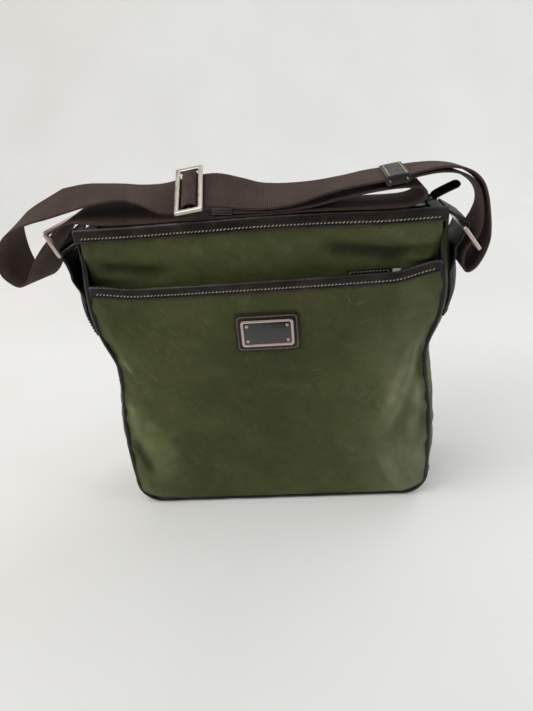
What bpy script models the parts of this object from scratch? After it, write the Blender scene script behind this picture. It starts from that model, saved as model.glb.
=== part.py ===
"""Messenger bag with a front slip pocket, a zipped mouth and an adjustable webbing strap.

The frame: X runs across the bag to the right, Y from the front (-Y) to the back, Z up.
The origin is at the middle of the base, on the surface that the bag stands on.
Driving dimensions are in metres. Strap routes are in millimetres and are converted by route().
"""
import math

import bmesh
import bpy
from mathutils import Matrix, Vector

MM = 0.001
GAP = 0.0004                      # clearance between neighbouring pieces

# Body of the bag
HEIGHT = 0.2832                   # top edge of the mouth's leather binding
HALF_WIDTH_TOP = 0.149
HALF_WIDTH_BASE = 0.146
TOP_SAG = 0.0022                  # how far the mouth's edge sinks towards its right end
PINCH = 0.0088                    # how far the sides pull in at the waist
PINCH_HEIGHT = 0.156
PINCH_SPREAD_ABOVE = 0.024
PINCH_SPREAD_BELOW = 0.048
SHOULDER = 0.0036                 # how far the sides swell above the waist
SHOULDER_HEIGHT = 0.212
SHOULDER_SPREAD = 0.028
HALF_DEPTH_TOP = 0.020
HALF_DEPTH_BASE = 0.042
BELLY = 0.004                     # fullness of the front and back walls
CORNER_RADIUS = 0.025
FABRIC = 0.0014
PIPING_RADIUS = 0.0022
PIPING_TOP = 0.264
SEAM = PIPING_RADIUS * 2 + GAP * 2
PANEL_FOOT = 0.0057

# Gussets
GUSSET_LOW_BULGE = 0.0078
GUSSET_BULGE = 0.0092
GUSSET_TOP_BULGE = 0.005
GUSSET_TOP = 0.2700

# Front pocket
POCKET_TOP = 0.231
POCKET_END_RISE = {-1: 0.0040, 1: 0.0075}   # the mouth's ends are sewn higher than its middle
POCKET_GAP = 0.0095               # from the pocket's face to the face of the front panel
POCKET_GAP_FOOT = 0.0035          # the same at the base
RECESS_TOP = 0.232                # above this height the front panel comes forward again
RECESS_RISE = 0.034               # height over which it does
BINDING_LEATHER = 0.0011
TOP_BINDING_HEIGHT = 0.0104
POCKET_BINDING_HEIGHT = 0.0092
FOLD_DROP = 0.0012                # how far the fold's shoulders lie below its top
FOLD_INSET = 0.0010

# Base and lining
BASE_HALF_LENGTH = 0.1205
BASE_THICKNESS = 0.002
BOARD_THICKNESS = 0.002
LINING_FOOT = 0.0056
LINING_TOP = 0.2675
LINING_INSET = 0.006
LINING_THICKNESS = 0.0008

# Zip
ZIP_LEVEL = 0.2748                # middle of the tapes
ZIP_HALF_LENGTH = 0.138
TAPE_THICKNESS = 0.0008
TOOTH_HALF_WIDTH = 0.0021
TOOTH_THICKNESS = 0.0022
ZIP_END_LENGTH = 0.0085
ZIP_END_THICKNESS = 0.0018
SLIDER_X = 0.130
SLIDER_LENGTH = 0.012
SLIDER_WIDTH = 0.0095
SLIDER_TOP_THICKNESS = (0.0022, 0.0016)     # at its left and right end
SLIDER_BASE_THICKNESS = 0.0012
BRIDGE_FOOT = 0.0014              # above the underside of the slider's top
BRIDGE_WIDTH = 0.0024
# The bridge's outline seen from the front: X along the slider, Y up
BRIDGE_OUTLINE = ((-0.0048, 0), (-0.0038, 0.0042), (0.0062, 0.0042), (0.0062, -0.0006),
                  (0.0052, -0.0006), (0.0052, 0.0032), (-0.0020, 0.0032), (-0.0010, 0))
PULL_PIVOT = Vector((0.1338, 0.0, 0.2796))
PULL_RISE = 24.0                  # degrees that the pull stands up from level
PULL_LINK_LENGTH = 0.008
PULL_LINK_WIDTH = 0.0062
PULL_LINK_WIRE = 0.0012
PULL_LINK_THICKNESS = 0.0010
PULL_LINK_BACK = 0.0006           # how far the link reaches behind its pivot
PULL_LEATHER_LENGTH = 0.0205
PULL_TWIST = 30.0                 # degrees that the leather is turned about its length
PULL_WIDTH = 0.0064
PULL_THICKNESS = 0.0024

# Rings and the leather tabs that hold them
TAB_HALF_WIDTH = 0.019
TAB_LEATHER = 0.0020
TAB_FOOT = 0.187
TAB_BEND = 0.246                  # height where the tab leaves the gusset's curve
LOOP_HEIGHT = {-1: 0.2645, 1: 0.2632}
LOOP_RADIUS = 0.0042              # to the middle of the leather
RING_LENGTH = 0.052
RING_WIDTH = 0.024
RING_BAR = 0.0042
RING_THICKNESS = 0.0030
RING_SPAN = RING_WIDTH - RING_BAR
LOOP_X = {-1: -0.159, 1: 0.1618}
LOOP_END_ANGLE = {-1: 50, 1: 58}
TAB_HEAD = {-1: ((0.1565, 0.2740), (0.1528, 0.2800)), 1: ((0.1570, 0.2713), (0.1502, 0.2757))}
LEFT_RING_YAW = 10.0
LEFT_RING_DIRECTION = Vector((-0.39, 0.0, 0.92)).normalized()
RIGHT_RING_DIRECTION = Vector((0.585, 0.0, -0.811)).normalized()

# Strap and its slider
STRAP_WIDTH = 0.040
STRAP_THICKNESS = 0.0016
STATION_SPACING = 0.006
BUCKLE_CENTRE = Vector((-0.052, 0.0, 0.3002))
BUCKLE_SLOPE = 0.12               # rise of the strap along X where the slider sits
BUCKLE_LEAN = 28.0                # degrees that the strap leans up towards the back there
BUCKLE_LENGTH = 0.052
BUCKLE_WIDTH = 0.023
BUCKLE_BAR = 0.0038
BUCKLE_THICKNESS = 0.0030
BUCKLE_CLEARANCE = 0.0020         # between the strap and the slider's frame
BUCKLE_LIFT = STRAP_THICKNESS / 2 + BUCKLE_CLEARANCE + BUCKLE_THICKNESS / 2
CENTRE_BAR_RADIUS = 0.0014
FOLD_THICKNESS = 0.0012
FOLD_HALF_LENGTH = 0.0052
FOLD_RISE = 0.0046
SLEEVE_LENGTH = 0.017
SLEEVE_LEATHER = 0.0010
CLIP_LENGTH = 0.0165              # along the strap
CLIP_THICKNESS = 0.0034
CLIP_CENTRE = Vector((-0.0258, 0.0, 0.2886))
SLEEVE_CENTRE = Vector((0.1100, 0.0, 0.30358))
SLEEVE_SLOPE = 0.12

# Badge: a plain rectangular plate on a stitched leather patch
BADGE_CENTRE = (0.002, 0.187)
PATCH_SIZE = (0.056, 0.035)
PLATE_SIZE = (0.045, 0.024)
PLATE_RIM = 0.0022
PATCH_THICKNESS = 0.0016
RIM_THICKNESS = 0.0014
ENAMEL_THICKNESS = 0.0008
RIVET_DIAMETER = 0.0028
RIVET_INSET = 0.0030              # from the rim to the middle of a rivet

# Label and tag inside the pocket's mouth: middle x and z, width, height, thickness, finish
POCKET_LABELS = {
    "pocket_label": (0.0890, 0.2180, 0.036, 0.030, 0.0012, "leather"),
    "pocket_tag": (0.1115, 0.2198, 0.007, 0.024, 0.0006, "tag"),
}
LABEL_LIFT = 0.0022               # from the front panel's face to the middle of a label

COLOURS = {
    "nylon": ((0.075, 0.085, 0.030), 0.62, 0.0),
    "leather": ((0.030, 0.022, 0.018), 0.45, 0.0),
    "webbing": ((0.055, 0.036, 0.031), 0.80, 0.0),
    "metal": ((0.72, 0.68, 0.62), 0.28, 1.0),
    "dark_metal": ((0.16, 0.16, 0.16), 0.35, 1.0),
    "enamel": ((0.010, 0.010, 0.010), 0.15, 0.0),
    "lining": ((0.018, 0.016, 0.014), 0.70, 0.0),
    "board": ((0.10, 0.09, 0.08), 0.80, 0.0),
    "tag": ((0.75, 0.74, 0.70), 0.75, 0.0),
    "tape": ((0.020, 0.020, 0.018), 0.75, 0.0),
}


# ---------------------------------------------------------------- helpers

def clear_scene():
    for item in list(bpy.data.objects):
        bpy.data.objects.remove(item, do_unlink=True)


def make_material(node, finish):
    colour, roughness, metallic = COLOURS[finish]
    material = bpy.data.materials.new(node + "_" + finish)
    material.use_nodes = True
    shader = material.node_tree.nodes["Principled BSDF"]
    shader.inputs["Base Color"].default_value = (*colour, 1.0)
    shader.inputs["Roughness"].default_value = roughness
    shader.inputs["Metallic"].default_value = metallic
    return material


def add_node(node, data, finish):
    """Put finished geometry into the scene under its node's name."""
    data.materials.append(make_material(node, finish))
    item = bpy.data.objects.new(node, data)
    bpy.context.scene.collection.objects.link(item)
    return item


def mesh_from(node, vertices, faces):
    mesh = bpy.data.meshes.new(node)
    mesh.from_pydata([tuple(v) for v in vertices], [], faces)
    mesh.update()
    return mesh


def add_thickness(item, thickness, offset):
    solidify = item.modifiers.new("thickness", "SOLIDIFY")
    solidify.thickness = thickness
    solidify.offset = offset
    solidify.use_even_offset = True
    return item


def sheet(node, rows, thickness, finish, offset=-1.0, smooth=True):
    """A flexible sheet through rows of points, thickened away from its normal."""
    columns = len(rows[0])
    vertices = [point for row in rows for point in row]
    faces = []
    for r in range(len(rows) - 1):
        for c in range(columns - 1):
            a = r * columns + c
            faces.append((a, a + 1, a + columns + 1, a + columns))
    mesh = mesh_from(node, vertices, faces)
    if smooth:
        mesh.shade_smooth()
    return add_thickness(add_node(node, mesh, finish), thickness, offset)


def tube(node, points, radius, finish):
    """A round cord along a smooth route, with closed ends."""
    curve = bpy.data.curves.new(node, "CURVE")
    curve.dimensions = "3D"
    curve.bevel_depth = radius
    curve.bevel_resolution = 1
    curve.use_fill_caps = True
    spline = curve.splines.new("POLY")
    spline.points.add(len(points) - 1)
    for target, point in zip(spline.points, points):
        target.co = (*point, 1.0)
    return add_node(node, curve, finish)


def rounded_rectangle(length, width, radius, steps):
    """Outline points of a rectangle with round corners, anticlockwise."""
    outline = []
    for corner in range(4):
        sign_x = (1, -1, -1, 1)[corner]
        sign_y = (1, 1, -1, -1)[corner]
        for step in range(steps + 1):
            angle = math.radians(90 * corner + 90 * step / steps)
            x = sign_x * (length / 2 - radius) + radius * math.cos(angle)
            y = sign_y * (width / 2 - radius) + radius * math.sin(angle)
            outline.append((x, y))
    return outline


def plate(node, outline, thickness, placement, finish, bevel=0.0):
    """A flat plate: its outline is extruded along the placement's own Z."""
    bm = bmesh.new()
    loop = [bm.verts.new((x, y, -thickness / 2)) for x, y in outline]
    face = bm.faces.new(loop)
    raised = bmesh.ops.extrude_face_region(bm, geom=[face])
    top = [v for v in raised["geom"] if isinstance(v, bmesh.types.BMVert)]
    bmesh.ops.translate(bm, vec=(0, 0, thickness), verts=top)
    bmesh.ops.recalc_face_normals(bm, faces=bm.faces)
    return finish_bmesh(node, bm, placement, finish, bevel)


def frame_plate(node, outer, inner, thickness, placement, finish, bevel=0.0):
    """A flat frame: a plate between two outlines with the same number of points."""
    bm = bmesh.new()
    count = len(outer)
    levels = (-thickness / 2, thickness / 2)
    loops = []
    for level in levels:
        for outline in (outer, inner):
            loops.append([bm.verts.new((x, y, level)) for x, y in outline])
    low_outer, low_inner, high_outer, high_inner = loops
    for i in range(count):
        j = (i + 1) % count
        bm.faces.new((high_outer[i], high_outer[j], high_inner[j], high_inner[i]))
        bm.faces.new((low_outer[j], low_outer[i], low_inner[i], low_inner[j]))
        bm.faces.new((low_outer[i], low_outer[j], high_outer[j], high_outer[i]))
        bm.faces.new((low_inner[j], low_inner[i], high_inner[i], high_inner[j]))
    bmesh.ops.recalc_face_normals(bm, faces=bm.faces)
    return finish_bmesh(node, bm, placement, finish, bevel)


def finish_bmesh(node, bm, placement, finish, bevel):
    mesh = bpy.data.meshes.new(node)
    bm.to_mesh(mesh)
    bm.free()
    item = add_node(node, mesh, finish)
    item.matrix_world = placement
    if bevel:
        edge = item.modifiers.new("edge", "BEVEL")
        edge.width = bevel
        edge.segments = 1
        edge.limit_method = "ANGLE"
    return item


def axes_at(origin, x_axis, y_axis):
    """A placement from an origin, an X axis and a rough Y axis."""
    x = Vector(x_axis).normalized()
    z = x.cross(Vector(y_axis)).normalized()
    y = z.cross(x)
    matrix = Matrix((x, y, z)).transposed().to_4x4()
    matrix.translation = origin
    return matrix


def body_empty(name, origin):
    """The point that a moving body turns or slides about."""
    empty = bpy.data.objects.new(name, None)
    empty.location = origin
    bpy.context.scene.collection.objects.link(empty)
    return empty


def ride_on(empty, *items):
    bpy.context.view_layer.update()
    for item in items:
        world = item.matrix_world.copy()
        item.parent = empty
        item.matrix_parent_inverse = Matrix.Translation(-empty.location)
        item.matrix_world = world


def smoothstep(value):
    t = min(max(value, 0.0), 1.0)
    return t * t * (3 - 2 * t)


# ---------------------------------------------------------------- the bag's form

def half_width(z):
    """Half the front's width at a height: full above the waist and pulled in at it."""
    straight = HALF_WIDTH_BASE + (HALF_WIDTH_TOP - HALF_WIDTH_BASE) * z / HEIGHT
    spread_here = PINCH_SPREAD_ABOVE if z > PINCH_HEIGHT else PINCH_SPREAD_BELOW
    pinch = PINCH * math.exp(-((z - PINCH_HEIGHT) / spread_here) ** 2)
    shoulder = SHOULDER * math.exp(-((z - SHOULDER_HEIGHT) / SHOULDER_SPREAD) ** 2)
    return straight + shoulder - pinch


def inner_edge(z, inset):
    """Half width of a line that runs inside the front's outline, round its lower corners."""
    if z >= CORNER_RADIUS:
        return half_width(z) - inset
    radius = CORNER_RADIUS - inset
    return half_width(z) - CORNER_RADIUS + math.sqrt(radius ** 2 - (CORNER_RADIUS - z) ** 2)


def half_depth(z):
    return HALF_DEPTH_BASE + (HALF_DEPTH_TOP - HALF_DEPTH_BASE) * z / HEIGHT


def wall_y(x, z):
    """Distance from the middle plane to the outer face of the front or back wall."""
    across = min(abs(x) / half_width(z), 1.0)
    belly = BELLY * math.sin(math.pi * min(z / HEIGHT, 1.0)) * (1 - across ** 2)
    return half_depth(z) + belly


def pocket_rise(x):
    return POCKET_END_RISE[1 if x > 0 else -1] * smoothstep((abs(x) - 0.105) / 0.040)


def top_sag(x):
    """How far the mouth's edge has sunk at a place along it."""
    return TOP_SAG * smoothstep((x - 0.040) / 0.070)


def sunk(x, z):
    """A height on a wall, lowered near the mouth's edge where that edge has sunk."""
    return z - top_sag(x) * smoothstep((z - 0.245) / 0.036)


def recess(z):
    """How far the front panel lies behind the pocket's face."""
    depth = POCKET_GAP_FOOT + (POCKET_GAP - POCKET_GAP_FOOT) * smoothstep(z / 0.060)
    return depth * (1 - smoothstep((z - RECESS_TOP) / RECESS_RISE))


def spread(count):
    return [-1 + 2 * i / (count - 1) for i in range(count)]


LOW_HEIGHTS = (PANEL_FOOT, 0.0085, 0.0145, CORNER_RADIUS)


def wall_heights(top, rows):
    upper = [CORNER_RADIUS + (top - CORNER_RADIUS) * i / rows for i in range(1, rows + 1)]
    return list(LOW_HEIGHTS) + upper


# ---------------------------------------------------------------- fabric panels

def make_front_pocket_panel():
    rows = []
    for z in wall_heights(POCKET_TOP - 0.0015, 11):
        edge = inner_edge(z, SEAM)
        row = []
        for u in spread(17):
            x = u * edge
            height = z + pocket_rise(x) * (z / POCKET_TOP) ** 4
            row.append(Vector((x, -wall_y(x, z), height)))
        rows.append(row)
    return sheet("front_pocket_panel", rows, FABRIC, "nylon")


def make_front_panel():
    rows = []
    for z in wall_heights(HEIGHT - BINDING_LEATHER - GAP, 14):
        edge = inner_edge(z, SEAM)
        rows.append([Vector((u * edge, recess(z) - wall_y(u * edge, z), sunk(u * edge, z)))
                     for u in spread(17)])
    return sheet("front_panel", rows, FABRIC, "nylon")


def make_back_panel():
    rows = []
    for z in wall_heights(HEIGHT - BINDING_LEATHER - GAP, 14):
        edge = inner_edge(z, SEAM)
        rows.append([Vector((u * edge, wall_y(u * edge, z), sunk(u * edge, z)))
                     for u in reversed(spread(17))])
    return sheet("back_panel", rows, FABRIC, "nylon")


def gusset_bulge(z):
    low = smoothstep(z / 0.060)
    middle = smoothstep((z - 0.150) / 0.045)
    high = smoothstep((z - 0.220) / 0.033)
    bulge = GUSSET_LOW_BULGE * low + (GUSSET_BULGE - GUSSET_LOW_BULGE) * middle
    return bulge + (GUSSET_TOP_BULGE - GUSSET_BULGE) * high


def gusset_path():
    """Stations down a side and round its lower corner: x, z and the outward direction."""
    stations = []
    for i in range(6):
        angle = math.radians(-88 + 88 * i / 6)
        x = HALF_WIDTH_BASE - CORNER_RADIUS + CORNER_RADIUS * math.cos(angle)
        z = CORNER_RADIUS + CORNER_RADIUS * math.sin(angle)
        stations.append((x, z + 0.0006, math.cos(angle), math.sin(angle)))
    for i in range(14):
        z = CORNER_RADIUS + (GUSSET_TOP - CORNER_RADIUS) * i / 13
        stations.append((half_width(z), z + 0.0006, 1.0, 0.0))
    return stations


def gusset_x(y, z):
    """Outer face of a gusset above its corner."""
    reach = half_depth(z) - SEAM
    across = min(abs(y) / reach, 1.0)
    return half_width(z) + gusset_bulge(z) * (1 - across ** 2)


def make_gusset(node, side):
    rows = []
    for x, z, out_x, out_z in gusset_path():
        reach = half_depth(z) - SEAM
        row = []
        for u in spread(7):
            bulge = gusset_bulge(z) * (1 - u * u)
            point = Vector((side * (x + out_x * bulge), u * reach * side, z + out_z * bulge))
            row.append(point)
        rows.append(row)
    return sheet(node, rows, FABRIC, "nylon")


def make_base():
    depth = 2 * (half_depth(0.0) - SEAM)
    outline = rounded_rectangle(2 * BASE_HALF_LENGTH, depth, 0.002, 2)
    place = Matrix.Translation((0, 0, BASE_THICKNESS / 2))
    plate("base_panel", outline, BASE_THICKNESS, place, "nylon")
    board = rounded_rectangle(2 * BASE_HALF_LENGTH - 0.006, depth - 0.008, 0.006, 3)
    level = BASE_THICKNESS + GAP + BOARD_THICKNESS / 2
    plate("base_board", board, BOARD_THICKNESS, Matrix.Translation((0, 0, level)), "board")


def make_lining():
    """The lining: an open bag inside the shell."""
    heights = (LINING_FOOT, 0.013, 0.026, 0.045, 0.075, 0.150, 0.232, LINING_TOP)
    rings = []
    for z in heights:
        half_x = inner_edge(max(z, LINING_INSET + 0.0015), LINING_INSET)
        front = recess(z) + FABRIC + 3 * GAP - half_depth(z)
        back = half_depth(z) - FABRIC - 2 * GAP
        middle = (front + back) / 2
        outline = rounded_rectangle(2 * half_x, back - front, 0.008, 3)
        rings.append([Vector((x, y + middle, z)) for x, y in outline])
    count = len(rings[0])
    vertices = [point for ring in rings for point in ring]
    faces = [tuple(reversed(range(count)))]
    for r in range(len(rings) - 1):
        for c in range(count):
            d = (c + 1) % count
            faces.append((r * count + c, r * count + d, (r + 1) * count + d, (r + 1) * count + c))
    mesh = mesh_from("lining", vertices, faces)
    return add_thickness(add_node("lining", mesh, "lining"), LINING_THICKNESS, -1.0)


# ---------------------------------------------------------------- piping and bindings

def make_piping(node, side):
    """A leather-covered cord up both sides of a wall and round its lower corners."""
    inset = PIPING_RADIUS + GAP
    half = []
    steps = 18
    for i in range(steps + 1):
        z = PIPING_TOP + (CORNER_RADIUS - PIPING_TOP) * i / steps
        half.append((half_width(z) - inset, z))
    arc = CORNER_RADIUS - inset
    for i in range(1, 7):
        angle = math.radians(90 * i / 6)
        x = HALF_WIDTH_BASE - CORNER_RADIUS + arc * math.cos(angle)
        half.append((x, CORNER_RADIUS - arc * math.sin(angle)))
    low = PIPING_RADIUS + 0.0006
    points = []
    for x, z in half:
        points.append((-x, side * (half_depth(z) - PIPING_RADIUS), max(z, low)))
    middle = [(x, side * (half_depth(0) - PIPING_RADIUS), low) for x in (-0.060, 0, 0.060)]
    mirrored = [(-x, y, z) for x, y, z in reversed(points)]
    return tube(node, points + middle + mirrored, PIPING_RADIUS, "leather")


def make_binding(node, stations, depth, side):
    """Folded leather over a panel's top edge: outer leaf, fold and inner leaf."""
    rows = []
    out = GAP + BINDING_LEATHER
    for x, top, rise in stations:
        foot = -wall_y(x, top - rise - depth)
        head = -wall_y(x, top - rise)
        section = ((foot - out, top - depth), (head - out, top - FOLD_DROP),
                   (head - out + FOLD_INSET, top), (head + FABRIC + out - FOLD_INSET, top),
                   (head + FABRIC + out, top - FOLD_DROP), (foot + FABRIC + out, top - depth))
        rows.append([Vector((x, side * y, z)) for y, z in section])
    if side > 0:
        rows.reverse()
    return sheet(node, rows, BINDING_LEATHER, "leather")


def make_bindings():
    length = HALF_WIDTH_TOP - 0.0005
    stations = [(u * length, HEIGHT - top_sag(u * length), -top_sag(u * length))
                for u in spread(17)]
    make_binding("top_binding_front", stations, TOP_BINDING_HEIGHT, 1)
    make_binding("top_binding_back", stations, TOP_BINDING_HEIGHT, -1)
    edge = half_width(POCKET_TOP + POCKET_END_RISE[1]) - SEAM
    stations = [(u * edge, POCKET_TOP + 0.0005 + pocket_rise(u * edge), pocket_rise(u * edge))
                for u in spread(17)]
    make_binding("pocket_binding", stations, POCKET_BINDING_HEIGHT, 1)


# ---------------------------------------------------------------- zip

def make_zip():
    outer = HALF_DEPTH_TOP - FABRIC - 2 * (BINDING_LEATHER + GAP) - GAP
    inner = TOOTH_HALF_WIDTH + GAP
    for node, side in (("zip_tape_front", -1), ("zip_tape_back", 1)):
        outline = rounded_rectangle(2 * ZIP_HALF_LENGTH, outer - inner, 0.001, 1)
        place = Matrix.Translation((0, side * (outer + inner) / 2, ZIP_LEVEL))
        plate(node, outline, TAPE_THICKNESS, place, "tape")
    for node, side in (("zip_teeth_front", -1), ("zip_teeth_back", 1)):
        width = TOOTH_HALF_WIDTH - GAP / 2
        outline = rounded_rectangle(2 * ZIP_HALF_LENGTH - 0.004, width, 0.0003, 1)
        place = Matrix.Translation((0, side * (width + GAP) / 2, ZIP_LEVEL))
        plate(node, outline, TOOTH_THICKNESS, place, "dark_metal")
    for node, side in (("zip_end_left", -1), ("zip_end_right", 1)):
        outline = rounded_rectangle(ZIP_END_LENGTH, 2 * outer - 0.004, 0.0015, 2)
        reach = ZIP_HALF_LENGTH + GAP + ZIP_END_LENGTH / 2 + 0.00015
        place = Matrix.Translation((side * reach, 0, ZIP_LEVEL))
        plate(node, outline, ZIP_END_THICKNESS, place, "leather", 0.0004)


def make_zip_slider():
    """Slider top with its bridge, the plate under the chain, the link and the leather pull."""
    top_level = ZIP_LEVEL + TOOTH_THICKNESS / 2 + GAP
    half = SLIDER_LENGTH / 2
    left_thickness, right_thickness = SLIDER_TOP_THICKNESS
    body = [(-half, 0), (half, 0), (half, right_thickness), (-half, left_thickness)]
    place = axes_at(Vector((SLIDER_X, 0, top_level)), (1, 0, 0), (0, 0, 1))
    slider_top = plate("zip_slider_top", body, SLIDER_WIDTH, place, "metal")
    place = axes_at(Vector((SLIDER_X, 0, top_level + BRIDGE_FOOT)), (1, 0, 0), (0, 0, 1))
    lug = plate("zip_slider_bridge", BRIDGE_OUTLINE, BRIDGE_WIDTH, place, "metal")
    join = slider_top.modifiers.new("bridge", "BOOLEAN")
    join.operation = "UNION"
    join.object = lug
    lug.hide_render = True
    lug.display_type = "WIRE"
    under_level = ZIP_LEVEL - TOOTH_THICKNESS / 2 - GAP - SLIDER_BASE_THICKNESS / 2
    outline = rounded_rectangle(SLIDER_LENGTH, SLIDER_WIDTH, 0.003, 2)
    slider_base = plate("zip_slider_base", outline, SLIDER_BASE_THICKNESS,
                        Matrix.Translation((SLIDER_X, 0, under_level)), "metal")
    along = Vector((math.cos(math.radians(PULL_RISE)), 0, math.sin(math.radians(PULL_RISE))))
    outer = rounded_rectangle(PULL_LINK_LENGTH, PULL_LINK_WIDTH, 0.002, 2)
    inner = rounded_rectangle(PULL_LINK_LENGTH - 2 * PULL_LINK_WIRE,
                              PULL_LINK_WIDTH - 2 * PULL_LINK_WIRE, 0.0010, 2)
    middle = PULL_PIVOT + along * (PULL_LINK_LENGTH / 2 - PULL_LINK_BACK)
    link = frame_plate("zip_pull_link", outer, inner, PULL_LINK_THICKNESS,
                       axes_at(middle, along, (0, 1, 0)), "metal", 0.0002)
    start = PULL_LINK_LENGTH - PULL_LINK_BACK + GAP
    middle = PULL_PIVOT + along * (start + PULL_LEATHER_LENGTH / 2)
    outline = rounded_rectangle(PULL_LEATHER_LENGTH, PULL_WIDTH, 0.0028, 3)
    across = Matrix.Rotation(math.radians(PULL_TWIST), 3, along) @ Vector((0, 1, 0))
    leather = plate("zip_pull_leather", outline, PULL_THICKNESS,
                    axes_at(middle, along, across), "leather", 0.0004)
    slider_origin = body_empty("zip_slider_origin", Vector((SLIDER_X, 0, ZIP_LEVEL)))
    ride_on(slider_origin, slider_top, lug, slider_base)
    pull_origin = body_empty("zip_pull_origin", PULL_PIVOT)
    ride_on(pull_origin, link, leather)
    ride_on(slider_origin, pull_origin)


# ---------------------------------------------------------------- side tabs and rings

def loop_centre(side):
    return Vector((LOOP_X[side], 0, LOOP_HEIGHT[side]))


def tab_twist(side):
    """Shift along X for each metre along Y, where the left ring is turned in its loop."""
    return math.tan(math.radians(LEFT_RING_YAW)) if side < 0 else 0.0


def make_side_tab(node, side):
    """Leather up the gusset, round the ring's bar and back up to the end of the mouth."""
    centre = loop_centre(side)
    reach = abs(centre.x)
    lift = 3 * GAP + TAB_LEATHER / 2
    rows = []
    columns = spread(5)
    for i in range(8):
        z = TAB_FOOT + (TAB_BEND - TAB_FOOT) * i / 7
        flat = smoothstep((z - 0.222) / 0.024)
        row = []
        for u in columns:
            y = u * TAB_HALF_WIDTH
            curved = gusset_x(y, z) + lift
            level = gusset_x(0, z) + lift + side * tab_twist(side) * y
            row.append(Vector((side * (curved + (level - curved) * flat), y, z)))
        rows.append(row)
    angles = [-60 + (LOOP_END_ANGLE[side] + 60) * i / 6 for i in range(7)]
    loop = [(reach + LOOP_RADIUS * math.cos(math.radians(a)),
             centre.z + LOOP_RADIUS * math.sin(math.radians(a))) for a in angles]
    run = [(reach - 0.0005, centre.z - 0.0100)] + loop + list(TAB_HEAD[side])
    for x, z in run:
        fade = 1 - smoothstep((z - 0.272) / 0.008)
        rows.append([Vector((side * x + tab_twist(side) * u * TAB_HALF_WIDTH * fade,
                             u * TAB_HALF_WIDTH, z)) for u in columns])
    if side < 0:
        rows.reverse()
    return sheet(node, rows, TAB_LEATHER, "leather", 0.0)


def make_ring(node, side, direction, yaw):
    """A flat rectangular ring: one long bar in the tab's loop, the strap on the other."""
    turn = Matrix.Rotation(math.radians(-yaw), 3, "Z")
    along = turn @ Vector((0, 1, 0))
    across = turn @ direction
    centre = loop_centre(side) + across * RING_SPAN / 2
    outer = rounded_rectangle(RING_LENGTH, RING_WIDTH, 0.0022, 2)
    hole = (RING_LENGTH - 2 * RING_BAR, RING_WIDTH - 2 * RING_BAR)
    inner = rounded_rectangle(hole[0], hole[1], 0.0010, 2)
    ring = frame_plate(node, outer, inner, RING_THICKNESS,
                       axes_at(centre, along, across), "metal", 0.0005)
    ride_on(body_empty(node + "_origin", loop_centre(side)), ring)
    return ring


# ---------------------------------------------------------------- strap

def catmull_rom(a, b, c, d, t):
    return [0.5 * (2 * q + (r - p) * t + (2 * p - 5 * q + 4 * r - s) * t ** 2
                   + (3 * q - p - 3 * r + s) * t ** 3) for p, q, r, s in zip(a, b, c, d)]


def route(controls):
    """Stations along a smooth route. A control is x, y, z and the lean in x and z, in mm."""
    ends = [controls[0]] + list(controls) + [controls[-1]]
    stations = []
    for i in range(len(controls) - 1):
        a, b, c, d = ends[i:i + 4]
        length = math.dist(b[:3], c[:3]) * MM
        steps = max(1, round(length / STATION_SPACING))
        stations += [catmull_rom(a, b, c, d, k / steps) for k in range(steps)]
    stations.append(list(controls[-1]))
    return [[value * MM for value in station] for station in stations]


def webbing(node, controls):
    """A length of webbing: each station gives its middle and how its far edge leans."""
    rows = []
    for x, y, z, lean_x, lean_z in route(controls):
        across = math.sqrt(STRAP_WIDTH ** 2 - lean_x ** 2 - lean_z ** 2)
        half = Vector((lean_x, across, lean_z)) / 2
        middle = Vector((x, y, z))
        rows.append([middle - half, middle + half])
    return sheet(node, rows, STRAP_THICKNESS, "webbing", 0.0)


MAIN_RUN = (
    (109.5, 0, 304.6, 0, 0.5), (101, 0, 303.7, 0, 1), (88, 0, 302.4, -1, 1), (70, 0, 300, -2, 0.5),
    (50, 0, 297, -4, 2.5), (28, -1, 294.4, -4, 8), (6, -2, 294.8, -1, 11.5),
    (-10, -1, 297.8, 0, 15), (-28, 0, 301.4, 0, 18), (-40, 0, 301.64, 0, 18.8),
    (-52, 0, 300.2, 0, 18.8), (-64, 0, 298.76, 0, 18.6), (-77, 0, 298.7, -1, 14.4),
    (-92, 1, 302, -6, 7.5), (-106, 1, 305.2, -9, 5), (-120, 1, 306.2, -11, 6),
    (-137, 1, 305.8, -13, 9), (-156, 0, 303, -14, 11))
LEFT_CURL = (
    (-156.4, 0, 302.9, -14, 11), (-173, 1, 297.6, -12, 8), (-190, 1, 292.5, -7, 5),
    (-203, 1, 286.5, -2, 4), (-211, 1, 277.5, 4, 3), (-215.5, 1, 264, 11, 3),
    (-215.5, 1, 251, 13, 2), (-211.5, 1, 241, 11, -2), (-205, 1, 235.5, 9, -4),
    (-197, 1, 238, 9, -6), (-189, 1, 247.5, 10, -9), (-182, 0.5, 258.5, 9, -6))
LEFT_LOOP = (
    (-181.8, 0.5, 258.9, 9, -6), (-175, 0, 267.5, 7, -4), (-167.4, 0, 276, 6.5, -1),
    (-160, 0, 283.5, 6.5, 0), (-152, 0, 289.4, 6, 3))
LOWER_RUN = (
    (-151.7, 0, 289.6, 6, 3), (-143, 0, 291.6, 4, 6), (-132, 0, 291, 1, 8.5),
    (-120, 0, 290, 0, 9.5), (-107, 0, 289.6, 0, 9.5), (-95, 0, 289.2, 0, 9),
    (-84, 0, 288.2, 0, 7), (-72, 0, 286.6, 0, 4), (-60, 0, 285.4, 0, 1), (-48, 0, 284.8, 0, 0),
    (-20, 0, 284.7, 0, 0), (20, 0, 284.7, 0, 0),
    (50, 0, 284.6, 0, 0), (84, 0, 283.2, 0, 0), (100, 0, 282.6, 0, 0), (116, 0, 282.7, 0, 0))
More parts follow.
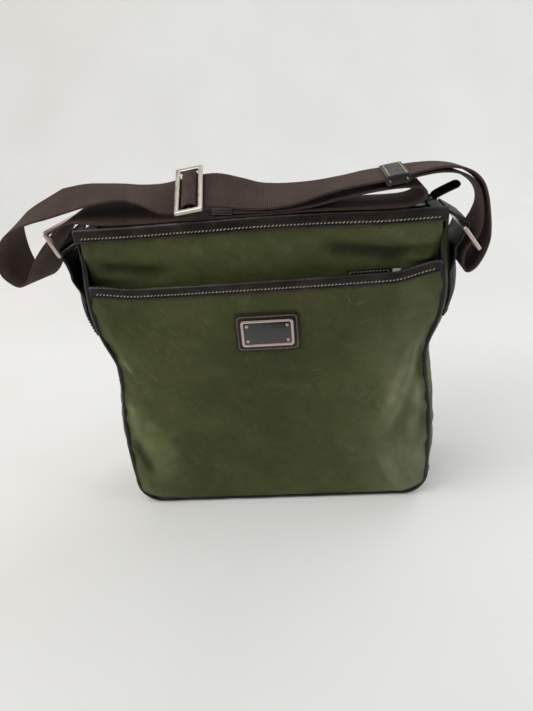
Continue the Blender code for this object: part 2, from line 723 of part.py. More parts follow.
RIGHT_CURL = (
    (116.4, 0, 282.7, 0, 0), (124, 0, 284.0, 0, 0), (129.6, 0, 286.8, 0, 0),
    (131.8, 0, 290.4, 0, 0), (130.4, 0, 294, 0, 0), (125.5, 0, 296.5, 0, 0),
    (116, 0, 297.4, 0, 0))
RETURN_RUN = (
    (115.6, 0, 297.4, 0, 0), (102, 0, 296.8, 0, 0), (85, 0, 295, 0, 0), (66, 0, 292, 0, 0),
    (46, 0, 288.8, 0, 1), (26, 0, 287, 0, 1), (6, 0, 286.8, 0, 0), (-8, 0, 287.3, 0, 0),
    (-17, 0, 287.8, 0, 0))
RIGHT_OUTER = (
    (109.9, 0, 304.65, 0, 0.5), (118, 0, 305.7, 0, -0.5), (130, 0, 307.1, 2, -2),
    (143, 0, 307.7, 3, -4), (156, 0, 306, 4, -5.5), (167, 0, 301.4, 4, -6),
    (175.5, 0, 293.8, 5, -5), (180.4, 0, 284, 6, -3), (182.6, 0, 273, 5, -1), (183, 0, 263, 2, 0))
RIGHT_INNER = (
    (102.5, 0, 301.7, 0, 1), (110, 0, 302.5, 0, 0.5), (118, 0, 303.4, 0, -0.5),
    (130, 0, 304.5, 2, -2), (142, 0, 304.6, 3, -4), (154.2, 0, 302.8, 4, -5.5),
    (164.2, 0, 298.4, 4, -6), (172, 0, 291.4, 5, -5), (176.2, 0, 282.6, 6, -3),
    (177.6, 0, 272.6, 5, -1), (176.4, 0, 263.4, 2, 0))
RIGHT_LOOP = (
    (183, 0, 262.6, 2, 0), (182.6, 0, 251.4, 0, 0), (179.8, 0, 239.6, 0, 0),
    (174.6, 0, 229.4, 0, 0), (168.6, 0, 225.6, 0, 0), (164.8, 0, 229.6, 0, 0),
    (163.9, 0, 237.4, 0, 0), (165.6, 0, 244.8, 0, 0), (169.4, 0, 250.4, 0, 0),
    (173.4, 0, 256, 0, 0), (176.3, 0, 263, 2, 0))


def make_strap():
    webbing("strap_main_run", MAIN_RUN)
    webbing("strap_left_curl", LEFT_CURL)
    webbing("strap_left_ring_turn", LEFT_LOOP)
    webbing("strap_lower_run", LOWER_RUN)
    webbing("strap_right_curl", RIGHT_CURL)
    webbing("strap_return_run", RETURN_RUN)
    webbing("strap_right_outer", RIGHT_OUTER)
    webbing("strap_right_inner", RIGHT_INNER)
    webbing("strap_right_ring_turn", RIGHT_LOOP)


def make_sleeve():
    """A stitched leather sleeve round the strap and its turned-back end."""
    height = 2 * STRAP_THICKNESS + 5 * GAP
    width = STRAP_WIDTH + 0.0016
    inner = rounded_rectangle(width, height, 0.0006, 1)
    outer = rounded_rectangle(width + 2 * SLEEVE_LEATHER, height + 2 * SLEEVE_LEATHER,
                              0.0016, 1)
    place = axes_at(SLEEVE_CENTRE, (0, 1, 0), (-SLEEVE_SLOPE, 0, 1))
    return frame_plate("strap_sleeve", outer, inner, SLEEVE_LENGTH, place, "leather")


def make_end_clip():
    """A folded metal clip on the free end of the webbing, just under the main run."""
    outline = rounded_rectangle(CLIP_LENGTH, STRAP_WIDTH, 0.0008, 1)
    place = axes_at(CLIP_CENTRE, (1, 0, -0.10), (0, 1, 0))
    return plate("strap_end_clip", outline, CLIP_THICKNESS, place, "dark_metal", 0.0003)


def make_buckle():
    """The slider: a rectangular frame, its centre bar and the webbing folded over the bar."""
    along = Vector((1, 0, BUCKLE_SLOPE)).normalized()
    back = Vector((0, math.cos(math.radians(BUCKLE_LEAN)), math.sin(math.radians(BUCKLE_LEAN))))
    across = (back - along * back.dot(along)).normalized()
    up = along.cross(across)
    centre = BUCKLE_CENTRE + up * BUCKLE_LIFT
    outer = rounded_rectangle(BUCKLE_LENGTH, BUCKLE_WIDTH, 0.0016, 2)
    inner = rounded_rectangle(BUCKLE_LENGTH - 2 * BUCKLE_BAR, BUCKLE_WIDTH - 2 * BUCKLE_BAR,
                              0.0006, 2)
    frame = frame_plate("buckle_frame", outer, inner, BUCKLE_THICKNESS,
                        axes_at(centre, across, -along), "metal", 0.0007)
    bar_half = BUCKLE_LENGTH / 2 - BUCKLE_BAR - GAP
    bar_lift = STRAP_THICKNESS / 2 + 2 * GAP + CENTRE_BAR_RADIUS
    bar_middle = BUCKLE_CENTRE + up * bar_lift
    bar = tube("buckle_centre_bar", [bar_middle - across * bar_half, bar_middle + across * bar_half],
               CENTRE_BAR_RADIUS, "metal")
    rows = []
    foot = STRAP_THICKNESS / 2 + 2 * GAP + FOLD_THICKNESS / 2 - 0.0002
    half = across * (STRAP_WIDTH / 2 - GAP)
    for i in range(13):
        angle = math.pi * i / 12
        height = foot + FOLD_RISE * math.sin(angle)
        point = BUCKLE_CENTRE + along * (FOLD_HALF_LENGTH * math.cos(angle)) + up * height
        rows.append([point - half, point + half])
    fold = sheet("buckle_webbing_fold", rows, FOLD_THICKNESS, "webbing", 0.0)
    ride_on(body_empty("buckle_origin", BUCKLE_CENTRE), frame, bar, fold)


# ---------------------------------------------------------------- badge and label

def wall_placement(x, z, lift):
    """A placement on the front's face: X to the right, Y up the wall, Z out of it."""
    below = Vector((x, -wall_y(x, z - 0.01), z - 0.01))
    above = Vector((x, -wall_y(x, z + 0.01), z + 0.01))
    place = axes_at(Vector((x, -wall_y(x, z), z)), (1, 0, 0), above - below)
    place.translation = place.translation + place.col[2].to_3d() * lift
    return place


def make_badge():
    x, z = BADGE_CENTRE
    lift = 0.0002 + GAP + PATCH_THICKNESS / 2
    patch = rounded_rectangle(*PATCH_SIZE, 0.004, 3)
    plate("badge_patch", patch, PATCH_THICKNESS, wall_placement(x, z, lift), "leather", 0.0003)
    lift += PATCH_THICKNESS / 2 + GAP + RIM_THICKNESS / 2
    outer = rounded_rectangle(*PLATE_SIZE, 0.003, 3)
    inner_size = [side - 2 * PLATE_RIM for side in PLATE_SIZE]
    inner = rounded_rectangle(*inner_size, 0.0015, 3)
    frame_plate("badge_rim", outer, inner, RIM_THICKNESS, wall_placement(x, z, lift), "metal",
                0.0003)
    fill = rounded_rectangle(inner_size[0] - 2 * GAP, inner_size[1] - 2 * GAP, 0.0012, 3)
    lift -= 0.0002
    plate("badge_enamel", fill, ENAMEL_THICKNESS, wall_placement(x, z, lift), "enamel")
    across = inner_size[0] / 2 - RIVET_INSET
    up = inner_size[1] / 2 - RIVET_INSET
    corners = ((-across, -up), (across, -up), (-across, up), (across, up))
    dome = rounded_rectangle(RIVET_DIAMETER, RIVET_DIAMETER, RIVET_DIAMETER / 2.01, 3)
    lift += ENAMEL_THICKNESS + GAP
    for number, (dx, dz) in enumerate(corners, start=1):
        place = wall_placement(x, z, lift) @ Matrix.Translation((dx, dz, 0))
        plate("badge_rivet_%d" % number, dome, ENAMEL_THICKNESS, place, "metal", 0.0002)


def make_pocket_labels():
    """The leather label and woven tag sewn just inside the pocket's mouth."""
    for node, (x, z, width, height, thickness, finish) in POCKET_LABELS.items():
        outline = rounded_rectangle(width, height, 0.001, 1)
        back = recess(z) - wall_y(x, z)
        slope = Vector((0, recess(z + 0.01) - wall_y(x, z + 0.01) - back, 0.01))
        origin = Vector((x, back - LABEL_LIFT, z))
        plate(node, outline, thickness, axes_at(origin, (1, 0, 0), slope), finish)


def build():
    clear_scene()
    make_front_panel()
    make_front_pocket_panel()
    make_back_panel()
    make_gusset("gusset_left", -1)
    make_gusset("gusset_right", 1)
    make_base()
    make_lining()
    make_piping("front_piping", -1)
    make_piping("back_piping", 1)
    make_bindings()
    make_zip()
    make_zip_slider()
    make_side_tab("side_tab_left", -1)
    make_side_tab("side_tab_right", 1)
    make_ring("ring_left", -1, LEFT_RING_DIRECTION, LEFT_RING_YAW)
    make_ring("ring_right", 1, RIGHT_RING_DIRECTION, 0.0)
    make_strap()
    make_sleeve()
    make_end_clip()
    make_buckle()
    make_badge()
    make_pocket_labels()
    bpy.context.view_layer.update()


build()
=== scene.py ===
"""Looks of the messenger bag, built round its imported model. Metres, in the model's own frame:
X across the bag, Y from the front (-Y) to the back, Z up from the surface it stands on."""
import math

import bmesh
import bpy
import numpy as np
from mathutils import Matrix, Vector


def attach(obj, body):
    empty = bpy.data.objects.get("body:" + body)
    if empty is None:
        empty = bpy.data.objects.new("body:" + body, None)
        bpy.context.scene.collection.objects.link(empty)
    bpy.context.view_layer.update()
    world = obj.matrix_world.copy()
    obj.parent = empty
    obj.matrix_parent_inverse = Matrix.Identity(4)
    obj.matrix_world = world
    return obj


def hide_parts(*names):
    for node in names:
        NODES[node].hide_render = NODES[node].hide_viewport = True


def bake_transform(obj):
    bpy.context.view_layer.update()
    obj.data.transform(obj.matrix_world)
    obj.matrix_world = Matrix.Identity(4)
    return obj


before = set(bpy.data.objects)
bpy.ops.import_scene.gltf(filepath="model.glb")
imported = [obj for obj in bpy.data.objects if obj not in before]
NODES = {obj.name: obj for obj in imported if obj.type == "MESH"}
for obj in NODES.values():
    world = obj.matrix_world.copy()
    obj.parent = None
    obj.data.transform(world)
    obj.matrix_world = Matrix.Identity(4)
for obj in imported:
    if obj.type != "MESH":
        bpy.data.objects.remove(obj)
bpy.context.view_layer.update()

MM = 0.001

# The bag's form, as the model has it
HEIGHT = 0.2832
HALF_WIDTH_TOP = 0.149
HALF_WIDTH_BASE = 0.146
TOP_SAG = 0.0022
PINCH = 0.0088
PINCH_HEIGHT = 0.156
PINCH_SPREAD_ABOVE = 0.024
PINCH_SPREAD_BELOW = 0.048
SHOULDER = 0.0036
SHOULDER_HEIGHT = 0.212
SHOULDER_SPREAD = 0.028
HALF_DEPTH_TOP = 0.020
HALF_DEPTH_BASE = 0.042
BELLY = 0.004
CORNER_RADIUS = 0.025
PIPING_RADIUS = 0.0022
PIPING_TOP = 0.264
SEAM = 0.0052
SEAM_ALLOWANCE = 0.0012
PANEL_INSET = SEAM - SEAM_ALLOWANCE
PANEL_TOP = HEIGHT - 0.0032
PANEL_UNDER_BINDING = 0.2712
FRONT_FOOT = 0.0040
BACK_FOOT = 0.0036
BASE_HALF_LENGTH = 0.1205
FABRIC = 0.0012
GAP = 0.0004
GUSSET_LOW_BULGE = 0.0078
GUSSET_BULGE = 0.0092
GUSSET_TOP_BULGE = 0.005
GUSSET_TOP = 0.2700
POCKET_TOP = 0.231
POCKET_FOOT = 0.0050
POCKET_LEFT_RISE = 0.0040
POCKET_RIGHT_RISE = 0.0075
POCKET_GAP = 0.0095
POCKET_GAP_FOOT = 0.0035
RECESS_TOP = 0.232
RECESS_RISE = 0.034
BINDING_LEATHER = 0.0011
TOP_BINDING_HEIGHT = 0.0104
POCKET_BINDING_HEIGHT = 0.0092
LINING_TOP = 0.2675
LINING_FOOT = 0.0056
LINING_INSET = 0.006
STRAP_WIDTH = 0.040
STRAP_THICKNESS = 0.0017
BADGE_PLACE = (0.002, 0.187)
PATCH_SIZE = (0.056, 0.035)
PLATE_SIZE = (0.045, 0.024)
PLATE_RIM = 0.0022
RIVET_INSET = 0.0030


# ---------------------------------------------------------------- form functions (numpy)

def smooth(value):
    t = np.clip(value, 0.0, 1.0)
    return t * t * (3 - 2 * t)


def half_width(z):
    straight = HALF_WIDTH_BASE + (HALF_WIDTH_TOP - HALF_WIDTH_BASE) * z / HEIGHT
    spread = np.where(z > PINCH_HEIGHT, PINCH_SPREAD_ABOVE, PINCH_SPREAD_BELOW)
    pinch = PINCH * np.exp(-((z - PINCH_HEIGHT) / spread) ** 2)
    return straight + SHOULDER * np.exp(-((z - SHOULDER_HEIGHT) / SHOULDER_SPREAD) ** 2) - pinch


def inner_edge(z, inset):
    """Half width of a line that runs inside the front's outline, round its lower corners."""
    radius = CORNER_RADIUS - inset
    drop = np.clip(CORNER_RADIUS - z, 0.0, radius)
    return half_width(z) - CORNER_RADIUS + np.sqrt(radius ** 2 - drop ** 2)


def half_depth(z):
    return HALF_DEPTH_BASE + (HALF_DEPTH_TOP - HALF_DEPTH_BASE) * z / HEIGHT


def wall_y(x, z):
    across = np.minimum(np.abs(x) / half_width(z), 1.0)
    belly = BELLY * np.sin(np.pi * np.minimum(z / HEIGHT, 1.0)) * (1 - across ** 2)
    return half_depth(z) + belly


def pocket_rise(x):
    rise = np.where(x > 0, POCKET_RIGHT_RISE, POCKET_LEFT_RISE)
    return rise * smooth((np.abs(x) - 0.105) / 0.040)


def top_sag(x):
    """How far the mouth's edge has sunk at a place along it."""
    return TOP_SAG * smooth((x - 0.040) / 0.070)


def sunk(x, z):
    """How much a height on a wall is lowered where the mouth's edge has sunk."""
    return -top_sag(x) * smooth((z - 0.245) / 0.036)


def recess(z):
    depth = POCKET_GAP_FOOT + (POCKET_GAP - POCKET_GAP_FOOT) * smooth(z / 0.060)
    return depth * (1 - smooth((z - RECESS_TOP) / RECESS_RISE))


def gusset_bulge(z):
    low = smooth(z / 0.060)
    middle = smooth((z - 0.150) / 0.045)
    high = smooth((z - 0.220) / 0.033)
    bulge = GUSSET_LOW_BULGE * low + (GUSSET_BULGE - GUSSET_LOW_BULGE) * middle
    return bulge + (GUSSET_TOP_BULGE - GUSSET_BULGE) * high


def gusset_x(y, z):
    reach = half_depth(z) - SEAM
    across = np.minimum(np.abs(y) / reach, 1.0)
    return half_width(z) + gusset_bulge(z) * (1 - across ** 2)


# ---------------------------------------------------------------- smooth seeded noise

def lattice(seed):
    return np.random.default_rng(seed).uniform(-1, 1, (64, 64))


def noise2(x, y, size, seed):
    """Smooth noise from -1 to 1 over a plane, with bumps about size across."""
    grid = lattice(seed)
    gx = np.asarray(x, float) / size + 1000
    gy = np.asarray(y, float) / size + 1000
    ix = np.floor(gx).astype(int)
    iy = np.floor(gy).astype(int)
    fx = smooth(gx - ix)
    fy = smooth(gy - iy)
    corner = [[grid[(ix + i) % 64, (iy + j) % 64] for j in (0, 1)] for i in (0, 1)]
    low = corner[0][0] * (1 - fx) + corner[1][0] * fx
    high = corner[0][1] * (1 - fx) + corner[1][1] * fx
    return low * (1 - fy) + high * fy


def fractal(x, y, size, seed, octaves=3):
    total = 0
    for i in range(octaves):
        total = total + noise2(x, y, size / 2 ** i, seed + i) / 2 ** i
    return total / 1.6


def blotches(x, y, size, seed):
    return np.clip(fractal(x, y, size, seed), 0, 1)


def crease(x, z, path, width):
    """How close points lie to a given crease: 1 on it, fading over width and at its ends."""
    best = np.zeros(np.broadcast(x, z).shape)
    total = sum(math.dist(path[i], path[i + 1]) for i in range(len(path) - 1))
    done = 0.0
    for (ax, az), (bx, bz) in zip(path[:-1], path[1:]):
        length = math.hypot(bx - ax, bz - az)
        t = np.clip(((x - ax) * (bx - ax) + (z - az) * (bz - az)) / length ** 2, 0, 1)
        away = np.hypot(x - ax - t * (bx - ax), z - az - t * (bz - az))
        along = (done + t * length) / total
        fade = smooth(along / 0.25) * smooth((1 - along) / 0.35)
        best = np.maximum(best, np.exp(-(away / width) ** 2) * fade)
        done += length
    return best


# ---------------------------------------------------------------- mesh helpers

def link_piece(mesh, material):
    mesh.materials.append(material)
    piece = bpy.data.objects.new(mesh.name, mesh)
    bpy.context.scene.collection.objects.link(piece)
    return piece


def settle(piece, body, *replaced):
    """The piece rides a body and stands in for solids of the model."""
    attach(piece, body)
    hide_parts(*replaced)
    return piece


def new_piece(name, vertices, faces, material, uv=None, wear_and_light=None, smooth_faces=True):
    """A mesh piece in the scene, with its material, its UVs in metres and its values of wear and
    painted light and shade.
    """
    mesh = bpy.data.meshes.new(name)
    mesh.from_pydata(np.asarray(vertices, float).tolist(), [], faces)
    if uv is not None:
        layer = mesh.uv_layers.new(name="UVMap")
        corner = np.zeros(len(mesh.loops), np.int32)
        mesh.loops.foreach_get("vertex_index", corner)
        layer.data.foreach_set("uv", np.asarray(uv, np.float32)[corner].ravel())
    if wear_and_light is not None:
        attribute = mesh.attributes.new("wear_and_light", "FLOAT", "POINT")
        attribute.data.foreach_set("value", np.asarray(wear_and_light, np.float32).ravel())
    mesh.update()
    if smooth_faces:
        mesh.shade_smooth()
    return link_piece(mesh, material)


def unit(vectors):
    vectors = np.asarray(vectors, float)
    return vectors / np.maximum(np.linalg.norm(vectors, axis=-1, keepdims=True), 1e-12)


def normals_of(points):
    """Unit normals of a rows x columns x 3 grid: along its rows' step crossed with its columns'."""
    return unit(np.cross(np.gradient(points, axis=1), np.gradient(points, axis=0)))


def grid_points(x, y, z):
    return np.stack(np.broadcast_arrays(x, y, z), axis=2)


def placed(points, place):
    """A piece's own points, in the model's frame."""
    matrix = np.array(place)
    return points @ matrix[:3, :3].T + matrix[:3, 3]


def arc_lengths(points):
    """UVs in metres: how far each grid point is along its row and along its column."""
    across = np.linalg.norm(np.diff(points, axis=1), axis=2)
    down = np.linalg.norm(np.diff(points, axis=0), axis=2)
    u = np.concatenate([np.zeros((points.shape[0], 1)), np.cumsum(across, axis=1)], axis=1)
    u = u - u[:, -1:] / 2
    v = np.concatenate([np.zeros((1, points.shape[1])), np.cumsum(down, axis=0)], axis=0)
    return np.stack([u, v], axis=2)


def grid_faces(rows, columns, offset=0, flip=False):
    faces = []
    for r in range(rows - 1):
        for c in range(columns - 1):
            a = offset + r * columns + c
            face = (a, a + 1, a + columns + 1, a + columns)
            faces.append(face[::-1] if flip else face)
    return faces


EDGE_ROUNDING = 0.35


def cloth_piece(name, points, thickness, material, body, replaced, wear_and_light=None):
    """A closed sheet from a grid of points on its outer face. Its rim is rounded."""
    rows, columns = points.shape[:2]
    normal = normals_of(points)
    inner = points - normal * thickness
    uv = arc_lengths(points)
    count = rows * columns
    vertices = np.concatenate([points.reshape(-1, 3), inner.reshape(-1, 3)])
    faces = grid_faces(rows, columns) + grid_faces(rows, columns, count, True)
    rim = ([(0, c) for c in range(columns)] + [(r, columns - 1) for r in range(1, rows)]
           + [(rows - 1, c) for c in range(columns - 2, -1, -1)]
           + [(r, 0) for r in range(rows - 2, 0, -1)])
    index = [r * columns + c for r, c in rim]
    uvs = np.concatenate([uv.reshape(-1, 2), uv.reshape(-1, 2)])
    values = np.zeros(count) if wear_and_light is None else wear_and_light.reshape(-1)
    values = np.concatenate([values, values])
    middle = vertices[index] - normal.reshape(-1, 3)[index] * thickness / 2
    ahead = np.roll(middle, -1, axis=0) - np.roll(middle, 1, axis=0)
    outward = unit(np.cross(ahead, normal.reshape(-1, 3)[index]))
    first = len(vertices)
    vertices = np.concatenate([vertices, middle + outward * thickness * EDGE_ROUNDING])
    uvs = np.concatenate([uvs, uvs[index]])
    values = np.concatenate([values, values[index]])
    for i in range(len(index)):
        j = (i + 1) % len(index)
        faces.append((index[j], index[i], first + i, first + j))
        faces.append((first + j, first + i, index[i] + count, index[j] + count))
    piece = new_piece(name, vertices, faces, material, uvs, values)
    return settle(piece, body, replaced)


def catmull_rom(a, b, c, d, t):
    return 0.5 * (2 * b + (c - a) * t + (2 * a - 5 * b + 4 * c - d) * t ** 2
                  + (3 * b - a - 3 * c + d) * t ** 3)


def smooth_line(controls, spacing):
    """Points about spacing apart on a smooth curve through the controls."""
    controls = np.asarray(controls, float)
    ends = np.concatenate([controls[:1], controls, controls[-1:]])
    points = []
    for i in range(len(controls) - 1):
        length = np.linalg.norm(ends[i + 2][:3] - ends[i + 1][:3])
        steps = max(2, int(round(length / (spacing / 4))))
        for k in range(steps):
            points.append(catmull_rom(*ends[i:i + 4], k / steps))
    points.append(controls[-1])
    return resample(np.array(points), spacing)


def distances(line):
    """How far along a line each of its points is."""
    steps = np.linalg.norm(np.diff(line, axis=0), axis=1)
    return np.concatenate([[0], np.cumsum(steps)])


def resample(points, spacing):
    along = distances(points[:, :3])
    count = max(2, int(round(along[-1] / spacing)) + 1)
    at = np.linspace(0, along[-1], count)
    return np.stack([np.interp(at, along, points[:, k]) for k in range(points.shape[1])], axis=1)


def tube_faces(count, sides, flip=False):
    """Faces of a closed tube through count rings, with a cap at each end."""
    faces = []
    for start in range(0, (count - 1) * sides, sides):
        for c in range(sides):
            a, b = start + c, start + (c + 1) % sides
            faces.append((b, a, a + sides, b + sides) if flip else (a, b, b + sides, a + sides))
    caps = [tuple(reversed(range(sides))), tuple(range((count - 1) * sides, count * sides))]
    return faces + [cap[::-1] if flip else cap for cap in caps]


def sweep(name, line, radius, material, sides, side=(0, 1, 0), flatten=1.0):
    """A tube along a line. radius may vary; side is the direction that flatten narrows."""
    line = np.asarray(line, float)
    radius = np.broadcast_to(np.asarray(radius, float), (len(line),))
    tangent = unit(np.gradient(line, axis=0))
    reference = np.broadcast_to(np.asarray(side, float), line.shape)
    a = unit(reference - tangent * (reference * tangent).sum(1, keepdims=True))
    b = np.cross(tangent, a)
    angle = np.linspace(0, 2 * np.pi, sides, endpoint=False)
    ring = (a[:, None] * (np.cos(angle) * flatten)[None, :, None]
            + b[:, None] * np.sin(angle)[None, :, None])
    points = line[:, None] + ring * radius[:, None, None]
    turn = np.arange(sides) / sides * 2 * np.pi * float(np.median(radius))
    uv = np.stack(np.meshgrid(turn, distances(line)), axis=2).reshape(-1, 2)
    return new_piece(name, points.reshape(-1, 3), tube_faces(len(line), sides), material, uv)


# ---------------------------------------------------------------- stitches

STITCH_LIFT = (-0.35, 0.25, 0.5, 0.25, -0.35)
STITCH_SWELL = (0.35, 0.9, 1.0, 0.9, 0.35)
STITCH_SKEW = 0.00055
FINE_THREAD = 0.00026


def stitches(name, seams, material, seed, pitch=0.0029, length=0.0019, radius=0.00043):
    """Thread along seams. A seam is (line, normals); each stitch is a short bowed thread."""
    random = np.random.default_rng(seed)
    vertices = []
    faces = []
    sides = 6
    for line, normals in seams:
        line = np.asarray(line, float)
        normals = np.broadcast_to(np.asarray(normals, float), line.shape)
        along = distances(line)
        count = max(1, int(along[-1] / pitch))
        for k in range(count):
            middle = (k + 0.5) * along[-1] / count
            at = middle + np.linspace(-0.5, 0.5, 5) * length
            centre = np.stack([np.interp(at, along, line[:, i]) for i in range(3)], axis=1)
            up = unit([np.interp(middle, along, normals[:, i]) for i in range(3)])
            forward = unit(centre[-1] - centre[0])
            across = unit(np.cross(up, forward))
            skew = across * (STITCH_SKEW + random.normal(0, 0.00008))
            first = len(vertices)
            swell = 1 + random.normal(0, 0.05)
            for j in range(5):
                lift = up * STITCH_LIFT[j] * radius * 1.6
                core = centre[j] + lift + skew * (j - 2) / 2
                for s in range(sides):
                    turn = 2 * np.pi * s / sides
                    ring = across * np.cos(turn) + up * np.sin(turn)
                    vertices.append(core + ring * radius * STITCH_SWELL[j] * swell)
            for j in range(4):
                for s in range(sides):
                    t = (s + 1) % sides
                    a = first + j * sides
                    faces.append((a + t, a + s, a + sides + s, a + sides + t))
            faces.append(tuple(first + s for s in range(sides)))
            faces.append(tuple(first + 4 * sides + s for s in reversed(range(sides))))
    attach(new_piece(name, np.array(vertices), faces, material), "root")


# ---------------------------------------------------------------- materials

class Tree:
    """A material's node tree, with a short call for each node."""

    def __init__(self, name, roughness=0.6, metallic=0.0, specular=0.5, **values):
        self.material = bpy.data.materials.new(name)
        self.material.use_nodes = True
        self.nodes = self.material.node_tree.nodes
        self.links = self.material.node_tree.links
        self.shader = self.nodes["Principled BSDF"]
        self.shader.inputs["Roughness"].default_value = roughness
        self.shader.inputs["Metallic"].default_value = metallic
        self.shader.inputs["Specular IOR Level"].default_value = specular
        for socket, value in values.items():
            self.shader.inputs[socket.replace("_", " ").title()].default_value = value
        self.coordinates = self.nodes.new("ShaderNodeTexCoord")

    def set(self, node, inputs):
        for key, value in inputs.items():
            if isinstance(value, bpy.types.NodeSocket):
                self.links.new(value, node.inputs[key])
            elif value is not None:
                node.inputs[key].default_value = value

    def space(self, kind="Object", scale=(1, 1, 1), rotation=(0, 0, 0)):
        mapping = self.nodes.new("ShaderNodeMapping")
        self.links.new(self.coordinates.outputs[kind], mapping.inputs["Vector"])
        mapping.inputs["Scale"].default_value = scale
        mapping.inputs["Rotation"].default_value = rotation
        return mapping.outputs["Vector"]

    def space_along(self, degrees, length, width):
        """Object coordinates stretched along a slant in the wall's plane."""
        mapping = self.nodes.new("ShaderNodeMapping")
        mapping.vector_type = "TEXTURE"
        self.links.new(self.coordinates.outputs["Object"], mapping.inputs["Vector"])
        mapping.inputs["Rotation"].default_value = (0, math.radians(degrees), 0)
        mapping.inputs["Scale"].default_value = (length, 0.1, width)
        return mapping.outputs["Vector"]

    def noise(self, vector, scale, detail=3.0, roughness=0.5, distortion=0.0):
        node = self.nodes.new("ShaderNodeTexNoise")
        self.set(node, {"Vector": vector, "Scale": scale, "Detail": detail,
                        "Roughness": roughness, "Distortion": distortion})
        return node.outputs["Fac"]

    def cells(self, vector, scale):
        node = self.nodes.new("ShaderNodeTexVoronoi")
        node.feature = "SMOOTH_F1"
        self.set(node, {"Vector": vector, "Scale": scale})
        return node.outputs["Distance"]

    def wave(self, vector, period, direction="X"):
        """Even bands, one for each period in metres."""
        node = self.nodes.new("ShaderNodeTexWave")
        node.bands_direction = direction
        self.set(node, {"Vector": vector, "Scale": math.pi / (10 * period), "Distortion": 0.0})
        return node.outputs["Fac"]

    def math(self, operation, a, b):
        node = self.nodes.new("ShaderNodeMath")
        node.operation = operation
        self.set(node, {0: a, 1: b})
        return node.outputs[0]

    def ramp(self, value, low, high, to_low=0.0, to_high=1.0):
        node = self.nodes.new("ShaderNodeMapRange")
        node.interpolation_type = "SMOOTHSTEP"
        self.set(node, {"Value": value, "From Min": low, "From Max": high,
                        "To Min": to_low, "To Max": to_high})
        return node.outputs["Result"]

    def blend(self, factor, a, b):
        node = self.nodes.new("ShaderNodeMix")
        node.data_type = "RGBA"
        self.set(node, {0: factor, 6: self.colour(a), 7: self.colour(b)})
        return node.outputs[2]

    def colour(self, value):
        return value if isinstance(value, bpy.types.NodeSocket) else (*value, 1.0)

    def attribute(self, name):
        node = self.nodes.new("ShaderNodeAttribute")
        node.attribute_name = name
        return node.outputs["Fac"]

    def bump(self, height, distance, strength=1.0, normal=None):
        node = self.nodes.new("ShaderNodeBump")
        self.set(node, {"Height": height, "Distance": distance, "Strength": strength,
                        "Normal": normal})
        return node.outputs["Normal"]

    def finish(self, colour=None, roughness=None, normal=None):
        self.set(self.shader, {"Base Color": colour, "Roughness": roughness, "Normal": normal})
        return self.material


NYLON_THREAD = 0.00045


def nylon_material():
    """Waxed nylon: mottled olive, dusty where it is rubbed, with fine pale creases. The same pale
    tone carries painted sheen and highlight, and negative values paint shade into folds.
    """
    m = Tree("waxed_nylon", roughness=0.6, specular=0.22, sheen_weight=0.05, sheen_roughness=0.45)
    m.shader.inputs["Sheen Tint"].default_value = (0.75, 0.85, 0.55, 1.0)
    p = m.space()
    wear_and_light = m.attribute("wear_and_light")
    broad = m.noise(p, 9.0, 4.0, 0.55, 0.4)
    patch = m.noise(p, 26.0, 4.0, 0.6, 0.8)
    fine = m.noise(p, 160.0, 3.0, 0.6)
    tone = m.blend(m.ramp(broad, 0.36, 0.66), (0.052, 0.058, 0.0170), (0.078, 0.088, 0.0265))
    tone = m.blend(m.ramp(patch, 0.46, 0.74, 0.0, 0.40), tone, (0.110, 0.122, 0.040))
    tone = m.blend(m.ramp(m.noise(p, 45.0, 5.0, 0.65, 1.0), 0.52, 0.72, 0.0, 0.40), tone,
                   (0.034, 0.038, 0.014))
    tone = m.blend(m.ramp(fine, 0.35, 0.7, 0.0, 0.20), tone, (0.036, 0.040, 0.012))
    sides = m.nodes.new("ShaderNodeSeparateXYZ")
    m.set(sides, {"Vector": p})
    # Pale tone for dust and painted sheen: yellower on the left and greyer on the right, tinted
    # like the side lights.
    dust_and_sheen_tone = m.blend(m.ramp(sides.outputs["X"], -0.05, 0.08), (0.215, 0.245, 0.092),
                   (0.265, 0.280, 0.165))
    tone = m.blend(m.ramp(wear_and_light, 0.0, 1.0, 0.0, 0.95), tone, dust_and_sheen_tone)
    # Negative values darken the cloth: painted shade in folds.
    shaded_and_scratched = m.blend(m.ramp(wear_and_light, -1.0, 0.0, 0.85, 0.0), tone, (0.010, 0.011, 0.005))
    for angle, length, width in ((48.0, 0.022, 0.0011), (-53.0, 0.026, 0.0013),
                                 (66.0, 0.015, 0.0010), (-14.0, 0.020, 0.0010)):
        where = m.space_along(angle, length, width)
        line = m.ramp(m.noise(where, 1.0, 1.0, 0.4, 0.10), 0.69, 0.77)
        mask = m.ramp(m.noise(m.space("Object", (1, 1, 1), (0, angle, 0)), 17.0, 1.0), 0.50, 0.60)
        shaded_and_scratched = m.blend(m.math("MULTIPLY", m.math("MULTIPLY", line, mask), 0.30),
                            shaded_and_scratched, (0.240, 0.255, 0.115))
    weave_x = m.wave(p, NYLON_THREAD, "X")
    weave_z = m.wave(p, NYLON_THREAD, "Z")
    weave_y = m.wave(p, NYLON_THREAD, "Y")
    weave = m.math("MULTIPLY", m.math("ADD", weave_x, weave_y), weave_z)
    crumple = m.cells(p, 95.0)
    soft = m.bump(m.noise(p, 70.0, 4.0, 0.6, 0.6), 0.0012, 0.60)
    soft = m.bump(crumple, 0.0012, 0.22, soft)
    grain = m.bump(m.noise(p, 420.0, 3.0, 0.6), 0.0002, 0.5, soft)
    normal = m.bump(weave, 0.00006, 0.6, grain)
    rough = m.ramp(patch, 0.3, 0.75, 0.46, 0.60)
    return m.finish(shaded_and_scratched, rough, normal)


